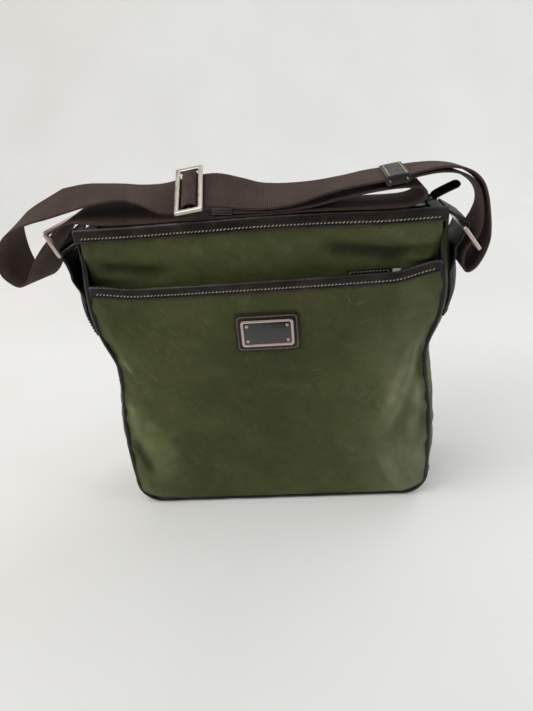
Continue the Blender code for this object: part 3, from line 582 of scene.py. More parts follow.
def leather_material(name, dark, light, rub_and_highlight_tone, roughness, coat):
    m = Tree(name, roughness=roughness, specular=0.26, coat_weight=coat, coat_roughness=0.26)
    p = m.space()
    wear_and_light = m.attribute("wear_and_light")
    broad = m.noise(p, 45.0, 3.0, 0.6)
    tone = m.blend(m.ramp(broad, 0.35, 0.7), dark, light)
    # Lighter where the attribute is high: rubbed leather and painted highlight on lit edges.
    rub_and_highlight = m.math("MULTIPLY", wear_and_light, m.ramp(m.noise(p, 260.0, 4.0, 0.6), 0.30, 0.62, 0.35, 1.0))
    tone = m.blend(rub_and_highlight, tone, rub_and_highlight_tone)
    grain = m.cells(p, 1500.0)
    folds = m.noise(p, 330.0, 4.0, 0.6, 1.2)
    soft = m.bump(folds, 0.0003, 0.5)
    normal = m.bump(grain, 0.00010, 0.45, soft)
    rough = m.ramp(folds, 0.3, 0.75, roughness - 0.08, roughness + 0.10)
    return m.finish(tone, rough, normal)


RIB_PITCH = 0.0015
WARP_PITCH = 0.0013


def webbing_material():
    """Ribbed webbing. UVs run across the strap (U) and along it (V), in metres."""
    m = Tree("webbing", roughness=0.80, specular=0.15, sheen_weight=0.07, sheen_roughness=0.5)
    m.shader.inputs["Sheen Tint"].default_value = (0.9, 0.62, 0.5, 1.0)
    uv = m.space("UV")
    p = m.space()
    rib = m.wave(uv, RIB_PITCH, "Y")
    warp = m.wave(uv, WARP_PITCH, "X")
    slub = m.noise(p, 900.0, 2.0, 0.6)
    broad = m.noise(p, 30.0, 3.0, 0.6)
    tone = m.blend(m.ramp(broad, 0.35, 0.68), (0.060, 0.039, 0.032), (0.094, 0.062, 0.051))
    # Rib crests lighter and the grooves between ribs and warp threads darker: painted highlight and
    # painted shade.
    tone = m.blend(m.math("MULTIPLY", m.ramp(rib, 0.45, 1.0), 0.50), tone, (0.135, 0.092, 0.077))
    tone = m.blend(m.ramp(rib, 0.0, 0.30, 0.60, 0.0), tone, (0.016, 0.010, 0.009))
    tone = m.blend(m.ramp(warp, 0.0, 0.35, 0.45, 0.0), tone, (0.016, 0.010, 0.009))
    tone = m.blend(m.ramp(slub, 0.5, 0.8, 0.0, 0.35), tone, (0.020, 0.013, 0.011))
    weave = m.math("ADD", rib, m.math("MULTIPLY", warp, 0.5))
    soft = m.bump(slub, 0.0002, 0.5)
    normal = m.bump(weave, 0.00022, 0.8, soft)
    return m.finish(tone, None, normal)


def metal_material(name, colour, roughness):
    m = Tree(name, roughness=roughness, metallic=1.0)
    p = m.space("Object", (1.0, 0.06, 1.0))
    brushed = m.noise(p, 900.0, 3.0, 0.6)
    smudge = m.noise(m.space(), 120.0, 3.0, 0.6)
    darker = tuple(c * 0.92 for c in colour)
    tone = m.blend(m.ramp(smudge, 0.35, 0.7), darker, colour)
    rough = m.ramp(smudge, 0.3, 0.7, roughness - 0.03, roughness + 0.05)
    return m.finish(tone, rough, m.bump(brushed, 0.00002, 0.25))


def thread_material(name, colour):
    m = Tree(name, roughness=0.7, specular=0.3)
    p = m.space()
    twist = m.noise(p, 2600.0, 2.0, 0.6)
    darker = tuple(c * 0.62 for c in colour)
    tone = m.blend(m.ramp(m.noise(p, 240.0, 2.0), 0.3, 0.7), darker, colour)
    return m.finish(tone, None, m.bump(twist, 0.0001, 0.5))


def woven_material(name, dark, light, thread, roughness=0.8):
    """Plain woven cloth or tape, on object coordinates."""
    m = Tree(name, roughness=roughness, specular=0.25)
    p = m.space()
    weave = m.math("ADD", m.wave(p, thread, "X"), m.math("ADD", m.wave(p, thread, "Y"),
                                                         m.wave(p, thread, "Z")))
    tone = m.blend(m.ramp(m.noise(p, 60.0, 3.0), 0.3, 0.7), dark, light)
    return m.finish(tone, None, m.bump(weave, 0.00012, 0.6))


def enamel_material():
    m = Tree("black_enamel", roughness=0.16, specular=0.6, coat_weight=0.6, coat_roughness=0.08)
    p = m.space()
    tone = m.blend(m.ramp(m.noise(p, 90.0, 3.0), 0.3, 0.7), (0.006, 0.006, 0.007),
                   (0.014, 0.013, 0.013))
    rough = m.ramp(m.noise(p, 200.0, 4.0, 0.6), 0.4, 0.75, 0.12, 0.30)
    return m.finish(tone, rough, m.bump(m.noise(p, 500.0, 2.0), 0.00003, 0.4))


NYLON = nylon_material()
LEATHER_TRIM = leather_material("leather_trim", (0.0070, 0.0046, 0.0036), (0.018, 0.0122, 0.0092),
                                (0.190, 0.160, 0.145), 0.38, 0.22)
LEATHER_BLACK = leather_material("leather_black", (0.0030, 0.0027, 0.0030), (0.006, 0.0053, 0.0056),
                                 (0.080, 0.078, 0.086), 0.50, 0.0)
LEATHER_GREY = leather_material("leather_sleeve", (0.018, 0.0172, 0.0142), (0.030, 0.0285, 0.024),
                                (0.10, 0.095, 0.08), 0.44, 0.08)
WEBBING = webbing_material()
RING_METAL = metal_material("ring_metal", (0.62, 0.50, 0.45), 0.30)
BUCKLE_METAL = metal_material("buckle_metal", (0.63, 0.59, 0.50), 0.30)
DARK_METAL = metal_material("dark_metal", (0.085, 0.082, 0.078), 0.36)
THREAD_TAN = thread_material("thread_tan", (0.66, 0.54, 0.38))
THREAD_DARK = thread_material("thread_dark", (0.10, 0.07, 0.055))
LINING_CLOTH = woven_material("lining_cloth", (0.012, 0.011, 0.010), (0.024, 0.021, 0.019), 0.0004)
ZIP_TAPE = woven_material("zip_tape", (0.012, 0.012, 0.011), (0.024, 0.024, 0.022), 0.0006)
WHITE_TAPE = woven_material("white_tape", (0.62, 0.61, 0.57), (0.80, 0.79, 0.75), 0.0005)
BOARD = woven_material("stiffener_board", (0.085, 0.075, 0.062), (0.12, 0.105, 0.09), 0.0009, 0.85)
ENAMEL = enamel_material()


# ---------------------------------------------------------------- camera, light and stage

CAMERA_PLACE = (0.0370, -0.4341, 0.4019)
CAMERA_ANGLES = (5.4, 30.5, -5.8)  # yaw, pitch and roll, in degrees
LENS = 27.04
SENSOR_WIDTH = 36.0
STAGE_REACH = 4.0
STAGE_TOP = 3.5
STAGE_LEVEL = -0.0002
SWEEP_START = 0.9
SWEEP_RADIUS = 0.7
SWEEP_STEPS = 12


def make_camera():
    """The photograph's view: from just above the bag's mouth, looking down at its front."""
    yaw, pitch, roll = (math.radians(angle) for angle in CAMERA_ANGLES)
    ahead = Vector((-math.sin(yaw) * math.cos(pitch), math.cos(yaw) * math.cos(pitch),
                    -math.sin(pitch)))
    level = Vector((math.cos(yaw), math.sin(yaw), 0.0))
    above = level.cross(ahead)
    right = math.cos(roll) * level + math.sin(roll) * above
    up = -math.sin(roll) * level + math.cos(roll) * above
    camera = bpy.data.objects.new("camera", bpy.data.cameras.new("camera"))
    bpy.context.scene.collection.objects.link(camera)
    placement = Matrix((right, up, -ahead)).transposed().to_4x4()
    placement.translation = Vector(CAMERA_PLACE)
    camera.matrix_world = placement
    camera.data.sensor_width = SENSOR_WIDTH
    camera.data.lens = LENS
    camera.data.clip_start = 0.01
    bpy.context.scene.camera = camera


def make_stage():
    """A pale floor that sweeps up into a backdrop."""
    profile = [(-STAGE_REACH, 0.0), (-1.0, 0.0), (0.0, 0.0), (SWEEP_START, 0.0)]
    for i in range(1, SWEEP_STEPS + 1):
        angle = math.radians(90 * i / SWEEP_STEPS)
        profile.append((SWEEP_START + SWEEP_RADIUS * math.sin(angle),
                        SWEEP_RADIUS - SWEEP_RADIUS * math.cos(angle)))
    profile.append((SWEEP_START + SWEEP_RADIUS, STAGE_TOP))
    vertices = [(x, y, z + STAGE_LEVEL) for y, z in profile for x in (-STAGE_REACH, STAGE_REACH)]
    faces = [(2 * i, 2 * i + 1, 2 * i + 3, 2 * i + 2) for i in range(len(profile) - 1)]
    mesh = bpy.data.meshes.new("stage")
    mesh.from_pydata(vertices, [], faces)
    mesh.shade_smooth()
    m = Tree("stage_paper", roughness=0.75, specular=0.2)
    p = m.space()
    tone = m.blend(m.ramp(m.noise(p, 3.0, 3.0), 0.3, 0.7), (0.80, 0.795, 0.775),
                   (0.84, 0.835, 0.82))
    m.set(m.shader, {"Emission Color": tone, "Emission Strength": 0.11})
    mesh.materials.append(m.finish(tone, None, m.bump(m.noise(p, 700.0, 2.0), 0.0001, 0.2)))
    stage = bpy.data.objects.new("stage", mesh)
    bpy.context.scene.collection.objects.link(stage)


def area_light(name, place, target, size, power, colour):
    data = bpy.data.lights.new(name, "AREA")
    data.shape = "RECTANGLE"
    data.size, data.size_y = size
    data.energy = power
    data.color = colour
    light = bpy.data.objects.new(name, data)
    bpy.context.scene.collection.objects.link(light)
    light.location = place
    light.rotation_mode = "QUATERNION"
    light.rotation_quaternion = (Vector(target) - Vector(place)).to_track_quat("-Z", "Y")


def make_lights():
    area_light("window", (1.3, 1.1, 1.8), (0, 0, 0.15), (1.6, 1.6), 14, (0.96, 0.98, 1.0))
    area_light("overhead", (-0.8, -0.3, 2.0), (0, 0, 0.1), (1.8, 1.8), 21, (1.0, 0.985, 0.96))
    area_light("left_wall", (-1.8, -0.45, 0.7), (0, 0, 0.12), (1.0, 1.0), 13, (1.0, 0.98, 0.90))
    area_light("right_wall", (1.8, -0.35, 0.7), (0, 0, 0.12), (1.0, 1.0), 12, (0.96, 0.98, 1.0))
    world = bpy.data.worlds.new("room")
    bpy.context.scene.world = world
    world.use_nodes = True
    background = world.node_tree.nodes["Background"]
    background.inputs["Color"].default_value = (0.93, 0.95, 1.0, 1.0)
    background.inputs["Strength"].default_value = 0.14
    bpy.context.scene.view_settings.view_transform = "Standard"


make_camera()
make_stage()
make_lights()


# ---------------------------------------------------------------- strap

# Stations of the webbing, as the model has them: x, y, z and the lean in x and z, in mm.
MAIN_RUN = (
    (109.5, 0, 304.6, 0, 0.5), (101, 0, 303.7, 0, 1), (88, 0, 302.4, -1, 1), (70, 0, 300, -2, 0.5),
    (50, 0, 297, -4, 2.5), (28, -1, 294.4, -4, 8), (6, -2, 294.8, -1, 11.5),
    (-10, -1, 297.8, 0, 15), (-28, 0, 301.4, 0, 18), (-40, 0, 301.64, 0, 18.8),
    (-52, 0, 300.2, 0, 18.8), (-64, 0, 298.76, 0, 18.6), (-77, 0, 298.7, -1, 14.4),
    (-92, 1, 302, -6, 7.5), (-106, 1, 305.2, -9, 5), (-120, 1, 306.2, -11, 6),
    (-137, 1, 305.8, -13, 9), (-156, 0, 303, -14, 11))
LEFT_CURL = (
    (-156.4, 0, 302.9, -14, 11), (-173, 1, 297.6, -12, 8), (-190, 1, 292.5, -7, 5),
    (-203, 1, 286.5, -2, 4), (-211, 1, 277.5, 4, 3), (-215.5, 1, 264, 11, 3),
    (-215.5, 1, 251, 13, 2), (-211.5, 1, 241, 11, -2), (-205, 1, 235.5, 9, -4),
    (-197, 1, 238, 9, -6), (-189, 1, 247.5, 10, -9), (-182, 0.5, 258.5, 9, -6))
LEFT_LOOP = (
    (-182, 0.5, 258.5, 9, -6), (-175, 0, 267.5, 7, -4), (-167.4, 0, 276, 6.5, -1),
    (-160, 0, 283.5, 6.5, 0), (-151.7, 0, 289.6, 6, 3))
LOWER_RUN = (
    (-151.7, 0, 289.6, 6, 3), (-143, 0, 291.6, 4, 6), (-132, 0, 291, 1, 8.5),
    (-120, 0, 290, 0, 9.5), (-107, 0, 289.6, 0, 9.5), (-95, 0, 289.2, 0, 9),
    (-84, 0, 288.2, 0, 7), (-72, 0, 286.6, 0, 4), (-60, 0, 285.4, 0, 1), (-48, 0, 284.8, 0, 0),
    (-20, 0, 284.7, 0, 0), (20, 0, 284.7, 0, 0),
    (50, 0, 284.6, 0, 0), (84, 0, 283.2, 0, 0), (100, 0, 282.6, 0, 0), (116, 0, 282.7, 0, 0))
RIGHT_CURL = (
    (116.4, 0, 282.7, 0, 0), (124, 0, 284.0, 0, 0), (129.6, 0, 286.8, 0, 0),
    (131.8, 0, 290.4, 0, 0), (130.4, 0, 294, 0, 0), (125.5, 0, 296.5, 0, 0),
    (116, 0, 297.4, 0, 0))
RETURN_RUN = (
    (115.6, 0, 297.4, 0, 0), (102, 0, 296.8, 0, 0), (85, 0, 295, 0, 0), (66, 0, 292, 0, 0),
    (46, 0, 288.8, 0, 1), (26, 0, 287, 0, 1), (6, 0, 286.8, 0, 0), (-8, 0, 287.3, 0, 0),
    (-17, 0, 287.8, 0, 0))
RIGHT_OUTER = (
    (109.9, 0, 304.65, 0, 0.5), (118, 0, 305.7, 0, -0.5), (130, 0, 307.1, 2, -2),
    (143, 0, 307.7, 3, -4), (156, 0, 306, 4, -5.5), (167, 0, 301.4, 4, -6),
    (175.5, 0, 293.8, 5, -5), (180.4, 0, 284, 6, -3), (182.6, 0, 273, 5, -1), (183, 0, 263, 2, 0))
RIGHT_INNER = (
    (102.5, 0, 301.7, 0, 1), (110, 0, 302.5, 0, 0.5), (118, 0, 303.4, 0, -0.5),
    (130, 0, 304.5, 2, -2), (142, 0, 304.6, 3, -4), (154.2, 0, 302.8, 4, -5.5),
    (164.2, 0, 298.4, 4, -6), (172, 0, 291.4, 5, -5), (176.2, 0, 282.6, 6, -3),
    (177.6, 0, 272.6, 5, -1), (176.4, 0, 263.4, 2, 0))
RIGHT_LOOP = (
    (183, 0, 263, 2, 0), (182.6, 0, 251.4, 0, 0), (179.8, 0, 239.6, 0, 0),
    (174.6, 0, 229.4, 0, 0), (168.6, 0, 225.6, 0, 0), (164.8, 0, 229.6, 0, 0),
    (163.9, 0, 237.4, 0, 0), (165.6, 0, 244.8, 0, 0), (169.4, 0, 250.4, 0, 0),
    (173.4, 0, 256, 0, 0), (176.4, 0, 263.4, 2, 0))

RIB_DEPTH = 0.00013
SERRATION = 0.00022
STRAP_SPACING = 0.00042
ACROSS = np.array([-1, -0.985, -0.955, -0.92, -0.86, -0.6, -0.3, 0, 0.3, 0.6, 0.86, 0.92, 0.955,
                   0.985, 1])


def strap_profile():
    """Half thickness of the webbing at each place across it: round, slightly fuller edges."""
    full = STRAP_THICKNESS / 2
    edge = np.sqrt(np.clip(1 - ((np.abs(ACROSS) - 0.955) / 0.045).clip(0, 1) ** 2, 0, 1))
    selvedge = 1 + 0.10 * np.exp(-((np.abs(ACROSS) - 0.94) / 0.03) ** 2)
    return full * edge * selvedge


def strap_lines(controls):
    """Middles and halves (from the near edge to the far one) of the webbing, and its length."""
    stations = smooth_line(np.array(controls, float) * MM, STRAP_SPACING)
    lean = stations[:, 3:5]
    across = np.sqrt(STRAP_WIDTH ** 2 - (lean ** 2).sum(1))
    half = np.stack([lean[:, 0], across, lean[:, 1]], axis=1) / 2
    return stations[:, :3], half


def webbing(name, replaced, middles, halves, start, seed):
    """Webbing through its stations, with ribs across it and firm woven edges."""
    tangent = unit(np.gradient(middles, axis=0))
    width = unit(halves)
    normal = unit(np.cross(tangent, width))
    along = start + distances(middles)
    ribs = np.cos(2 * np.pi * along / RIB_PITCH)
    rib = RIB_DEPTH * ribs
    serration = SERRATION * ribs
    thick = strap_profile()
    wander = 0.00018 * np.stack([noise2(along, along * 0 + side, 0.011, seed + 3)
                                 for side in (0.0, 5.0)], axis=1)
    scale = np.ones((len(middles), len(ACROSS)))
    near, far = ACROSS < -0.9, ACROSS > 0.9
    half = STRAP_WIDTH / 2
    scale[:, near] += ((serration + wander[:, 0]) / half)[:, None]
    scale[:, far] += ((serration + wander[:, 1]) / half)[:, None]
    base = middles[:, None] + halves[:, None] * (ACROSS[None, :, None] * scale[:, :, None])
    inside = (np.abs(ACROSS) < 0.9)[None, :]
    height = thick[None, :] + rib[:, None] * inside * 0.8 + rib[:, None] * ~inside * 0.5
    height[:, [0, -1]] = 0
    top = base + normal[:, None] * height[:, :, None]
    bottom = base - normal[:, None] * height[:, :, None]
    ring = np.concatenate([top, bottom[:, -2:0:-1]], axis=1)
    u = np.concatenate([ACROSS, ACROSS[-2:0:-1]]) * half
    uv = np.stack(np.meshgrid(u, along), axis=2).reshape(-1, 2)
    faces = tube_faces(len(middles), ring.shape[1], True)
    piece = new_piece(name, ring.reshape(-1, 3), faces, WEBBING, uv)
    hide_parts(*replaced)
    return piece, float(along[-1] - start), along[-1]


def join_runs(*controls):
    """Several lengths of webbing as one, end to end."""
    parts = [strap_lines(c) for c in controls]
    middles = np.concatenate([p[0] for p in parts])
    halves = np.concatenate([p[1] for p in parts])
    keep = np.ones(len(middles), bool)
    step = np.linalg.norm(np.diff(middles, axis=0), axis=1)
    keep[1:][step < STRAP_SPACING * 0.5] = False
    return middles[keep], halves[keep]


def cut_at(middles, halves, place):
    """Two lengths of webbing, parted at the station nearest to a place."""
    i = int(np.argmin(np.linalg.norm(middles - np.asarray(place), axis=1)))
    return (middles[:i + 1], halves[:i + 1]), (middles[i:], halves[i:])


def still_run(name, replaced, run, start, seed):
    """A length of webbing that stays with the bag. Gives how far along the strap it ends."""
    piece, length, end = webbing(name, replaced, *run, start, seed)
    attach(piece, "root")
    return end


def ring_turn(side, controls, bar, start, seed):
    """The webbing through a ring, as two lengths that meet on the ring's bar."""
    ring = side + "_ring"
    outer, inner = cut_at(*strap_lines(controls), bar)
    for word, run, bodies in (("outer", outer, ("root", ring)), ("inner", inner, (ring, "root"))):
        piece, length, start = webbing("strap_%s_turn_%s" % (side, word),
                                       ("strap_%s_turn" % ring,), *run, start, seed)
        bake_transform(piece)
    return start


def make_strap():
    at = still_run("strap_webbing_main", ("strap_main_run", "strap_left_curl"),
                   join_runs(MAIN_RUN, LEFT_CURL),
                   0.0, 1)
    at = ring_turn("left", LEFT_LOOP, (-0.1645, 0.0, 0.2790), at, 2)
    still_run("strap_webbing_lower", ("strap_lower_run", "strap_right_curl", "strap_return_run"),
              join_runs(LOWER_RUN, RIGHT_CURL, RETURN_RUN),
              at, 4)
    still_run("strap_webbing_right_outer", ("strap_right_outer",), strap_lines(RIGHT_OUTER),
              0.0, 5)
    still_run("strap_webbing_right_inner", ("strap_right_inner",), strap_lines(RIGHT_INNER),
              0.0, 6)
    ring_turn("right", RIGHT_LOOP, (0.1686, 0.0, 0.2256), 0.0, 7)


make_strap()


# ---------------------------------------------------------------- fabric panels

def panel_heights(foot, top, count):
    """Heights that lie closer together round the lower corners."""
    t = np.linspace(0, 1, count)
    return foot + (top - foot) * (0.55 * t + 0.45 * t ** 1.35)


POCKET_FOLDS = (
    # path (x, z), width, height: positive stands out
    (((0.134, 0.180), (0.127, 0.160), (0.117, 0.133), (0.106, 0.100), (0.098, 0.066)),
     0.0078, 0.0046),
    (((0.137, 0.172), (0.1315, 0.158), (0.132, 0.140), (0.136, 0.118)), 0.0042, -0.0040),
    (((0.134, 0.146), (0.130, 0.118), (0.127, 0.084), (0.125, 0.050)), 0.0052, 0.0030),
    (((0.139, 0.112), (0.136, 0.082), (0.134, 0.048)), 0.0050, -0.0014),
    (((0.046, 0.192), (0.061, 0.179), (0.075, 0.168), (0.087, 0.175)), 0.0040, 0.0009),
    (((-0.137, 0.132), (-0.124, 0.102), (-0.110, 0.068), (-0.095, 0.026)), 0.0125, 0.0048),
    (((-0.139, 0.084), (-0.131, 0.062), (-0.121, 0.034)), 0.0058, -0.0034),
    (((-0.136, 0.168), (-0.126, 0.161), (-0.119, 0.150)), 0.0045, 0.0022),
    (((-0.135, 0.158), (-0.127, 0.150), (-0.122, 0.138)), 0.0040, -0.0014),
    (((-0.140, 0.206), (-0.126, 0.184), (-0.114, 0.150)), 0.0150, 0.0016),
    (((0.120, 0.215), (0.090, 0.200), (0.050, 0.206)), 0.0130, -0.0012),
    (((-0.120, 0.215), (-0.085, 0.204), (-0.040, 0.208)), 0.0130, -0.0010),
    (((0.020, 0.052), (0.052, 0.060), (0.088, 0.088)), 0.0090, 0.0010),
    (((0.052, 0.078), (0.086, 0.060), (0.114, 0.034)), 0.0070, 0.0009),
)
BAND_FOLDS = (
    (((-0.146, 0.251), (-0.120, 0.2465), (-0.092, 0.2425), (-0.062, 0.2440)), 0.0072, -0.0046),
    (((-0.147, 0.245), (-0.130, 0.2405), (-0.104, 0.2385)), 0.0048, 0.0016),
    (((0.040, 0.2565), (0.082, 0.2490), (0.106, 0.2440), (0.148, 0.2470)), 0.0078, -0.0056),
    (((0.149, 0.243), (0.134, 0.2385), (0.116, 0.240)), 0.0040, 0.0030),
    (((0.149, 0.258), (0.136, 0.2535), (0.118, 0.250)), 0.0036, 0.0014),
    (((-0.030, 0.262), (0.000, 0.257), (0.030, 0.262)), 0.0100, -0.0012),
    (((-0.060, 0.262), (-0.052, 0.250), (-0.047, 0.240)), 0.0050, 0.0010),
)


def fold_height(x, z, folds):
    height = np.zeros(x.shape)
    for path, width, rise in folds:
        height += rise * crease(x, z, path, width)
    return height


def seam_pull(distance, along, seed):
    """Cloth dips and puckers beside a seam; distance is how far from the seam a point is."""
    near = np.exp(-(distance / 0.0042) ** 2)
    wide = np.exp(-(distance / 0.0120) ** 2)
    pucker = noise2(along, distance * 0.15, 0.0085, seed)
    return -0.0012 * near + 0.0008 * wide * pucker


def panel_points(foot, top, rows, columns, face, lift):
    """A wall panel's grid. face(x, z) gives its Y, and lift(x, z) the height's end rise."""
    z = panel_heights(foot, top, rows)[:, None] * np.ones(columns)
    u = np.linspace(-1, 1, columns)[None, :]
    x = u * inner_edge(z, PANEL_INSET)
    return np.stack([x, face(x, z), z + lift(x, z)], axis=2), x, z


def rubbed_and_lit_ridges(height, x, z, seed):
    """Wear from 0 to 1 where the cloth stands out, broken up as rubbing leaves it: rubbed wax and
    painted highlight on the ridges.
    """
    return smooth(height / 0.0034) * (0.55 + 0.45 * fractal(x, z, 0.009, seed))


def painted_fold_shade(height):
    """How much shade is painted into the cloth where it is folded in."""
    return 0.8 * smooth(-height / 0.0058)


def nylon_piece(name, replaced, points, wear_and_light):
    cloth_piece(name, points, FABRIC, NYLON, "root", replaced, np.clip(wear_and_light, -1, 1))


def make_pocket_panel():
    points, x, z = panel_points(POCKET_FOOT, POCKET_TOP - 0.0015, 190, 230,
                                lambda x, z: -wall_y(x, z),
                                lambda x, z: pocket_rise(x) * (z / POCKET_TOP) ** 4)
    folds = fold_height(x, z, POCKET_FOLDS)
    side = inner_edge(z, PANEL_INSET) - np.abs(x)
    foot = z - POCKET_FOOT
    pull = seam_pull(side, z, 11) + 0.6 * seam_pull(foot, x, 12)
    drift = (0.0012 * fractal(x, z, 0.060, 21) + 0.00045 * fractal(x, z, 0.018, 25)
             + 0.00012 * fractal(x, z, 0.005, 29, 2))
    calm = smooth(side / 0.012) * smooth(foot / 0.012) * smooth((POCKET_TOP - z) / 0.016)
    badge = np.exp(-((x - BADGE_PLACE[0]) / 0.036) ** 6 - ((z - BADGE_PLACE[1]) / 0.025) ** 6)
    pillow = 0.0032 * np.exp(-((side - 0.022) / 0.019) ** 2) * smooth((0.215 - z) / 0.050)
    out = (folds + pillow + drift * (1 - 0.9 * badge)) * calm + pull
    out *= smooth((POCKET_TOP + 0.001 - z) / 0.006) * 0.75 + 0.25
    points[:, :, 1] -= out
    # Lighter towards both sides: dust and painted sheen from the side lights; folds are darkened
    # with painted shade.
    dust_and_side_sheen = (0.74 * smooth((x - 0.040) / 0.095) * (0.55 + 0.45 * smooth((0.200 - z) / 0.110))
             + 0.52 * smooth((-x - 0.055) / 0.075) * smooth((0.205 - z) / 0.120))
    streaky = 0.70 + 0.50 * fractal(x + 0.35 * z, z * 0.45, 0.020, 41)
    wear_and_light = (0.34 * rubbed_and_lit_ridges(folds, x, z, 47) + 0.85 * dust_and_side_sheen * streaky
            + 0.10 * blotches(x, z, 0.012, 44) - painted_fold_shade(folds))
    nylon_piece("pocket_nylon", "front_pocket_panel", points, wear_and_light)


def make_front_panel():
    points, x, z = panel_points(FRONT_FOOT, PANEL_TOP, 200, 220,
                                lambda x, z: recess(z) - wall_y(x, z), sunk)
    folds = fold_height(x, z, BAND_FOLDS)
    side = inner_edge(z, PANEL_INSET) - np.abs(x)
    band = smooth((z - 0.224) / 0.010)
    calm = smooth(side / 0.010) * smooth((PANEL_UNDER_BINDING - z) / 0.012) * band
    drift = 0.0008 * fractal(x, z, 0.040, 51) + 0.0004 * fractal(x, z, 0.014, 55)
    pull = seam_pull(side, z, 13) * smooth((z - 0.20) / 0.02)
    points[:, :, 1] -= (folds + drift) * calm + pull
    # Lighter towards the right: painted sheen; folds are darkened with painted shade.
    wear_and_light = (0.22 * rubbed_and_lit_ridges(folds, x, z, 67) + 0.26 * blotches(x, z, 0.012, 61)
            + 0.10 * smooth((x - 0.07) / 0.05) - painted_fold_shade(folds))
    nylon_piece("front_nylon", "front_panel", points, wear_and_light)


BACK_FOLDS = (
    (((0.143, 0.170), (0.128, 0.130), (0.118, 0.080)), 0.0090, 0.0026),
    (((-0.143, 0.165), (-0.130, 0.125), (-0.112, 0.070)), 0.0100, 0.0028),
    (((-0.142, 0.120), (-0.136, 0.085), (-0.130, 0.050)), 0.0055, -0.0022),
    (((-0.110, 0.262), (-0.060, 0.252), (-0.010, 0.256)), 0.0110, -0.0022),
    (((0.020, 0.258), (0.070, 0.252), (0.125, 0.258)), 0.0110, -0.0020),
    (((-0.070, 0.110), (0.000, 0.090), (0.080, 0.120)), 0.0200, 0.0016),
    (((0.030, 0.180), (0.070, 0.160), (0.100, 0.170)), 0.0060, 0.0009),
)


def make_back_panel():
    points, x, z = panel_points(BACK_FOOT, PANEL_TOP, 200, 220, wall_y, sunk)
    folds = fold_height(x, z, BACK_FOLDS)
    side = inner_edge(z, PANEL_INSET) - np.abs(x)
    foot = z - BACK_FOOT
    calm = smooth(side / 0.012) * smooth(foot / 0.012) * smooth((PANEL_UNDER_BINDING - z) / 0.014)
    drift = (0.0014 * fractal(x, z, 0.065, 71) + 0.0005 * fractal(x, z, 0.018, 75)
             + 0.00012 * fractal(x, z, 0.005, 79, 2))
    pull = seam_pull(side, z, 14) + seam_pull(foot, x, 15)
    points[:, :, 1] += (folds + drift) * calm + pull * smooth((PANEL_UNDER_BINDING - z) / 0.006)
    wear_and_light = (0.30 * rubbed_and_lit_ridges(folds, x, z, 87) + 0.16 * blotches(x, z, 0.014, 81)
            + 0.18 * blotches(x, z, 0.060, 84))
    nylon_piece("back_nylon", "back_panel", points[:, ::-1], wear_and_light[:, ::-1])


def gusset_stations(count):
    """Down a side from the foot's corner up: x, z and the outward direction."""
    arc = np.radians(np.linspace(-86, 0, count // 4, endpoint=False))
    x = HALF_WIDTH_BASE - CORNER_RADIUS + CORNER_RADIUS * np.cos(arc)
    z = CORNER_RADIUS + CORNER_RADIUS * np.sin(arc)
    high = np.linspace(CORNER_RADIUS, GUSSET_TOP, count - len(arc))
    x = np.concatenate([x, half_width(high)])
    z = np.concatenate([z, high])
    out_x = np.concatenate([np.cos(arc), np.ones(len(high))])
    out_z = np.concatenate([np.sin(arc), np.zeros(len(high))])
    return x, z, out_x, out_z


def make_gusset(name, replaced, side, seed):
    x, z, out_x, out_z = (values[:, None] for values in gusset_stations(420))
    u = np.linspace(-1, 1, 64)[None, :]
    reach = half_depth(z) - SEAM + SEAM_ALLOWANCE
    y = u * reach
    bulge = gusset_bulge(z) * (1 - u * u)
    rim = reach - np.abs(y)
    ridges = 0.0011 * fractal(y, z, 0.030, seed) + 0.0006 * fractal(y, z * 1.6, 0.013, seed + 5)
    pucker = 0.0009 * np.exp(-(rim / 0.008) ** 2) * noise2(z, y * 0.2, 0.0075, seed + 9)
    rough = 0.00028 * smooth((0.012 - rim) / 0.008)
    pucker = pucker + rough * noise2(z, y * 0.1, 0.0011, seed + 17)
    tab = smooth((z - 0.181) / 0.010) * smooth((0.0225 - np.abs(y)) / 0.003)
    fold = -0.0022 * np.exp(-((np.abs(y) - 0.012) / 0.006) ** 2) * smooth((z - 0.02) / 0.05)
    fold = fold * (1 - smooth((z - 0.150) / 0.020))
    calm = smooth(rim / 0.006) * smooth(z / 0.020) * (1 - tab)
    offset = bulge + (ridges + fold) * calm + pucker * smooth(z / 0.02) * (1 - tab)
    low = np.maximum(z + 0.0006 + out_z * offset, 0.0006)
    points = np.stack([side * (x + out_x * offset), side * y * np.ones_like(x), low], axis=2)
    # Lighter where ridges stand out: rubbing and painted highlight.
    wear_and_light = (0.20 * np.clip(ridges * calm / 0.001, 0, 1)
            + 0.16 * blotches(y, z, 0.015, seed + 13) + 0 * x)
    nylon_piece(name, replaced, points, wear_and_light)


make_pocket_panel()
make_front_panel()
make_back_panel()
make_gusset("gusset_nylon_left", "gusset_left", -1, 91)
make_gusset("gusset_nylon_right", "gusset_right", 1, 131)


# ---------------------------------------------------------------- piping

